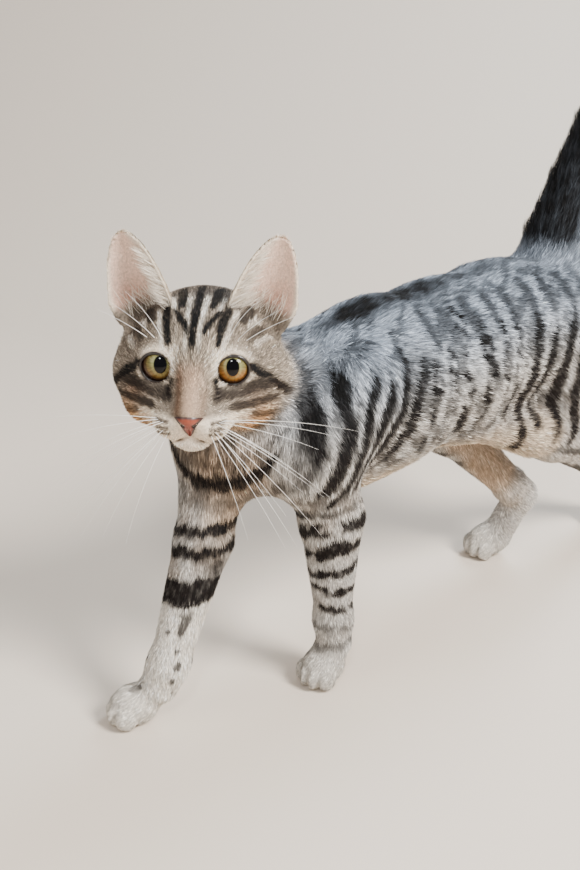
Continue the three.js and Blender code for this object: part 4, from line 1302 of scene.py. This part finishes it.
# whiskers: long arcs from the rows on the pads, and three over each eye
REACH_X, REACH_Y = 66.0, -246.0     # furthest they may go from the row's origin, sideways and ahead
STATIONS = 18
ROOT_RADIUS = 0.17
roots, ways, lengths, bows = [], [], [], []
for side in (-1, 1):
    for row in range(3):
        for back in (0.05, 0.35, 0.65, 0.95):
            fall = math.radians((6, -18, -44)[row] - 18 * (1 - back) + rng.uniform(-7, 7))
            roots.append(whisker_root(side, row, back))
            ways.append((side * math.cos(fall), 0.42 - 0.38 * back, math.sin(fall)))
            lengths.append((48 + 22 * back) * rng.uniform(0.85, 1.1))
            bows.append((side * -0.05, -0.30, -0.24))
for side in (-1, 1):
    for k in range(3):
        roots.append((side * (15 + 3 * k), -4 - 3 * k, 11.5 - k))
        ways.append((side * (0.25 + 0.35 * k), 0.55, 1.0))
        lengths.append(rng.uniform(26, 36))
        bows.append((side * 0.25, -0.35, -0.15))
roots, ways, bows = np.array(roots, float), unit(ways), np.array(bows, float)
t = np.linspace(0, 1, STATIONS)[None, :, None]
lengths = np.array(lengths)
for _ in range(8):
    size = lengths[:, None, None]
    arcs = roots[:, None] + size * (ways[:, None] * t + bows[:, None] * t * t) - ways[:, None]
    paths = from_head(arcs)
    end = paths - ROW_ORIGIN
    over = (np.abs(end[..., 0]).max(1) > REACH_X) | (end[..., 1].min(1) < REACH_Y)
    lengths = np.where(over, lengths * 0.92, lengths)
thick = (ROOT_RADIUS * (1 - 0.85 * t[..., 0])) * np.ones((len(roots), 1))
hair_points, hair_faces = tubes(paths, thick, 5)
whiskers = new_mesh("whiskers", hair_points, hair_faces)
paint(whiskers, srgb(0.97, 0.96, 0.94), painted("whisker", Roughness=0.3))
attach(whiskers, "root")


def ear_hairs(side, count):
    """Roots up the inner edge and along the foot of the cup, hairs swept across it."""
    foot = rng.random(count) < 0.45
    h = np.where(foot, rng.uniform(-3, 8, count), rng.uniform(2, 30, count))
    s = np.where(foot, rng.uniform(-0.9, 0.75, count), rng.uniform(-0.97, -0.70, count))
    t = np.clip(h / EAR_HEIGHT, 0, 0.999)
    width = ear_cup(s, h)[0]
    n = ear_cup(s * width, h)[3] + 0.9
    q = EAR_BASE + (s * width)[:, None] * EAR_ACROSS + h[:, None] * EAR_RISE + n[:, None] * EAR_FACING
    normal = unit(EAR_FACING + rng.normal(0, 0.15, (count, 3)))
    way = EAR_RISE * rng.uniform(0.5, 1.0, (count, 1))
    from_foot, from_edge = rng.uniform(-0.2, 0.6, count), rng.uniform(0.5, 1.0, count)
    way = way + EAR_ACROSS * np.where(foot, from_foot, from_edge)[:, None]
    way = unit(way - normal * (way * normal).sum(-1, keepdims=True))

    def turn(w):
        """Direction on that side of the head, in the body frame."""
        return (w * arr(side, 1, 1)) @ HEAD_AXES

    length = rng.uniform(7, 15, count) * (1 - 0.45 * t)
    return blades(from_head(q * arr(side, 1, 1)), turn(normal), unit(turn(way)), length,
                  rng.uniform(0.16, 0.26, count), rng.uniform(0.12, 0.4, count), rng.normal(0, 0.6, count))


EAR_HAIRS = 620
tuft_points = np.concatenate([ear_hairs(1, EAR_HAIRS), ear_hairs(-1, EAR_HAIRS)])
tufts = blade_mesh("ear_tufts", tuft_points)
tuft_shade = rng.uniform(0.75, 1.05, (len(tuft_points), 1, 1)) * np.ones((1, BLADE_POINTS, 1))
paint(tufts, np.clip(srgb(0.96, 0.92, 0.86) * tuft_shade, 0, 1).reshape(-1, 3), hair_finish)
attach(tufts, "root")


# ---------------------------------------------------------------- camera etc.

def aim(right, up, back, place):
    """Placing matrix from three axes and a place."""
    m = np.eye(4)
    m[:3, 0], m[:3, 1], m[:3, 2], m[:3, 3] = right, up, back, place
    return Matrix(m.tolist())


CAMERA_PLACE = arr(412.2, -452.6, 381)
PITCH, CAMERA_ROLL = math.radians(21.87), math.radians(0.70)
HALFWAY = math.sqrt(0.5)     # the camera looks midway between -X and +Y
forward = arr(-HALFWAY * math.cos(PITCH), HALFWAY * math.cos(PITCH), -math.sin(PITCH))
right0 = arr(HALFWAY, HALFWAY, 0)
up0 = np.cross(right0, forward)
right = right0 * math.cos(CAMERA_ROLL) + up0 * math.sin(CAMERA_ROLL)
up = up0 * math.cos(CAMERA_ROLL) - right0 * math.sin(CAMERA_ROLL)
camera_data = bpy.data.cameras.new("camera")
camera_data.lens = 50
camera_data.sensor_width = 36
camera = placed("camera", camera_data)
camera.matrix_world = aim(right, up, -forward, (CAMERA_PLACE - ROW_ORIGIN) * MM)
bpy.context.scene.camera = camera

# floor that curves up into a wall behind, as seen by the camera
WALL, CURVE, SWEEP = 1.7, 1.1, 5.0
bend = np.linspace(0, math.pi / 2, 24)
reach = np.concatenate([[-3.0], WALL - CURVE + CURVE * np.sin(bend), [WALL]])
rise = np.concatenate([[0.0], CURVE - CURVE * np.cos(bend), [4.0]])
level_view = unit(arr(forward[0], forward[1], 0))
sideways = np.array([-SWEEP, SWEEP])
floor_points = (reach[:, None, None] * level_view + sideways[None, :, None] * right0
                + rise[:, None, None] * arr(0, 0, 1)).reshape(-1, 3)
floor_mesh = bpy.data.meshes.new("floor")
floor_mesh.from_pydata(floor_points.tolist(), [], grid_faces(len(reach), 2)[:, ::-1].tolist())
floor_mesh.polygons.foreach_set("use_smooth", np.full(len(floor_mesh.polygons), True))
floor = placed("floor", floor_mesh)
floor_paint, _, floor_shader = material("pale_floor", Roughness=0.6)
floor_shader.inputs["Base Color"].default_value = (*srgb(0.86, 0.81, 0.75), 1)
floor.data.materials.append(floor_paint)

ROOM_LIGHT = 0.42
world = bpy.data.worlds.new("studio")
world.use_nodes = True
world.node_tree.nodes["Background"].inputs["Color"].default_value = (*srgb(0.90, 0.90, 0.92), 1)
world.node_tree.nodes["Background"].inputs["Strength"].default_value = ROOM_LIGHT
bpy.context.scene.world = world


def softbox(name, place, target, size, power, colour):
    """Round soft lamp that faces its target."""
    lamp = bpy.data.lights.new(name, "AREA")
    lamp.shape = "DISK"
    lamp.size = size
    lamp.energy = power
    lamp.color = colour
    holder = placed(name, lamp)
    back = unit(arr(*place) - arr(*target))
    side = unit(np.cross((0, 0, 1), back))
    holder.matrix_world = aim(side, np.cross(back, side), back, place)


softbox("window_right", (1.2, 0.1, 1.2), (0, -0.1, 0.15), 0.6, 60, (1.0, 0.97, 0.93))
softbox("window_back", (-0.2, 1.2, 1.3), (0, 0, 0.15), 0.8, 26, (0.78, 0.89, 1.0))
softbox("front_fill", (-0.3, -1.5, 0.9), (0, -0.1, 0.15), 1.0, 8, (1.0, 0.95, 0.88))
softbox("over_camera", (0.55, -0.75, 0.95), (0, -0.2, 0.18), 0.16, 5, (0.95, 0.98, 1.0))
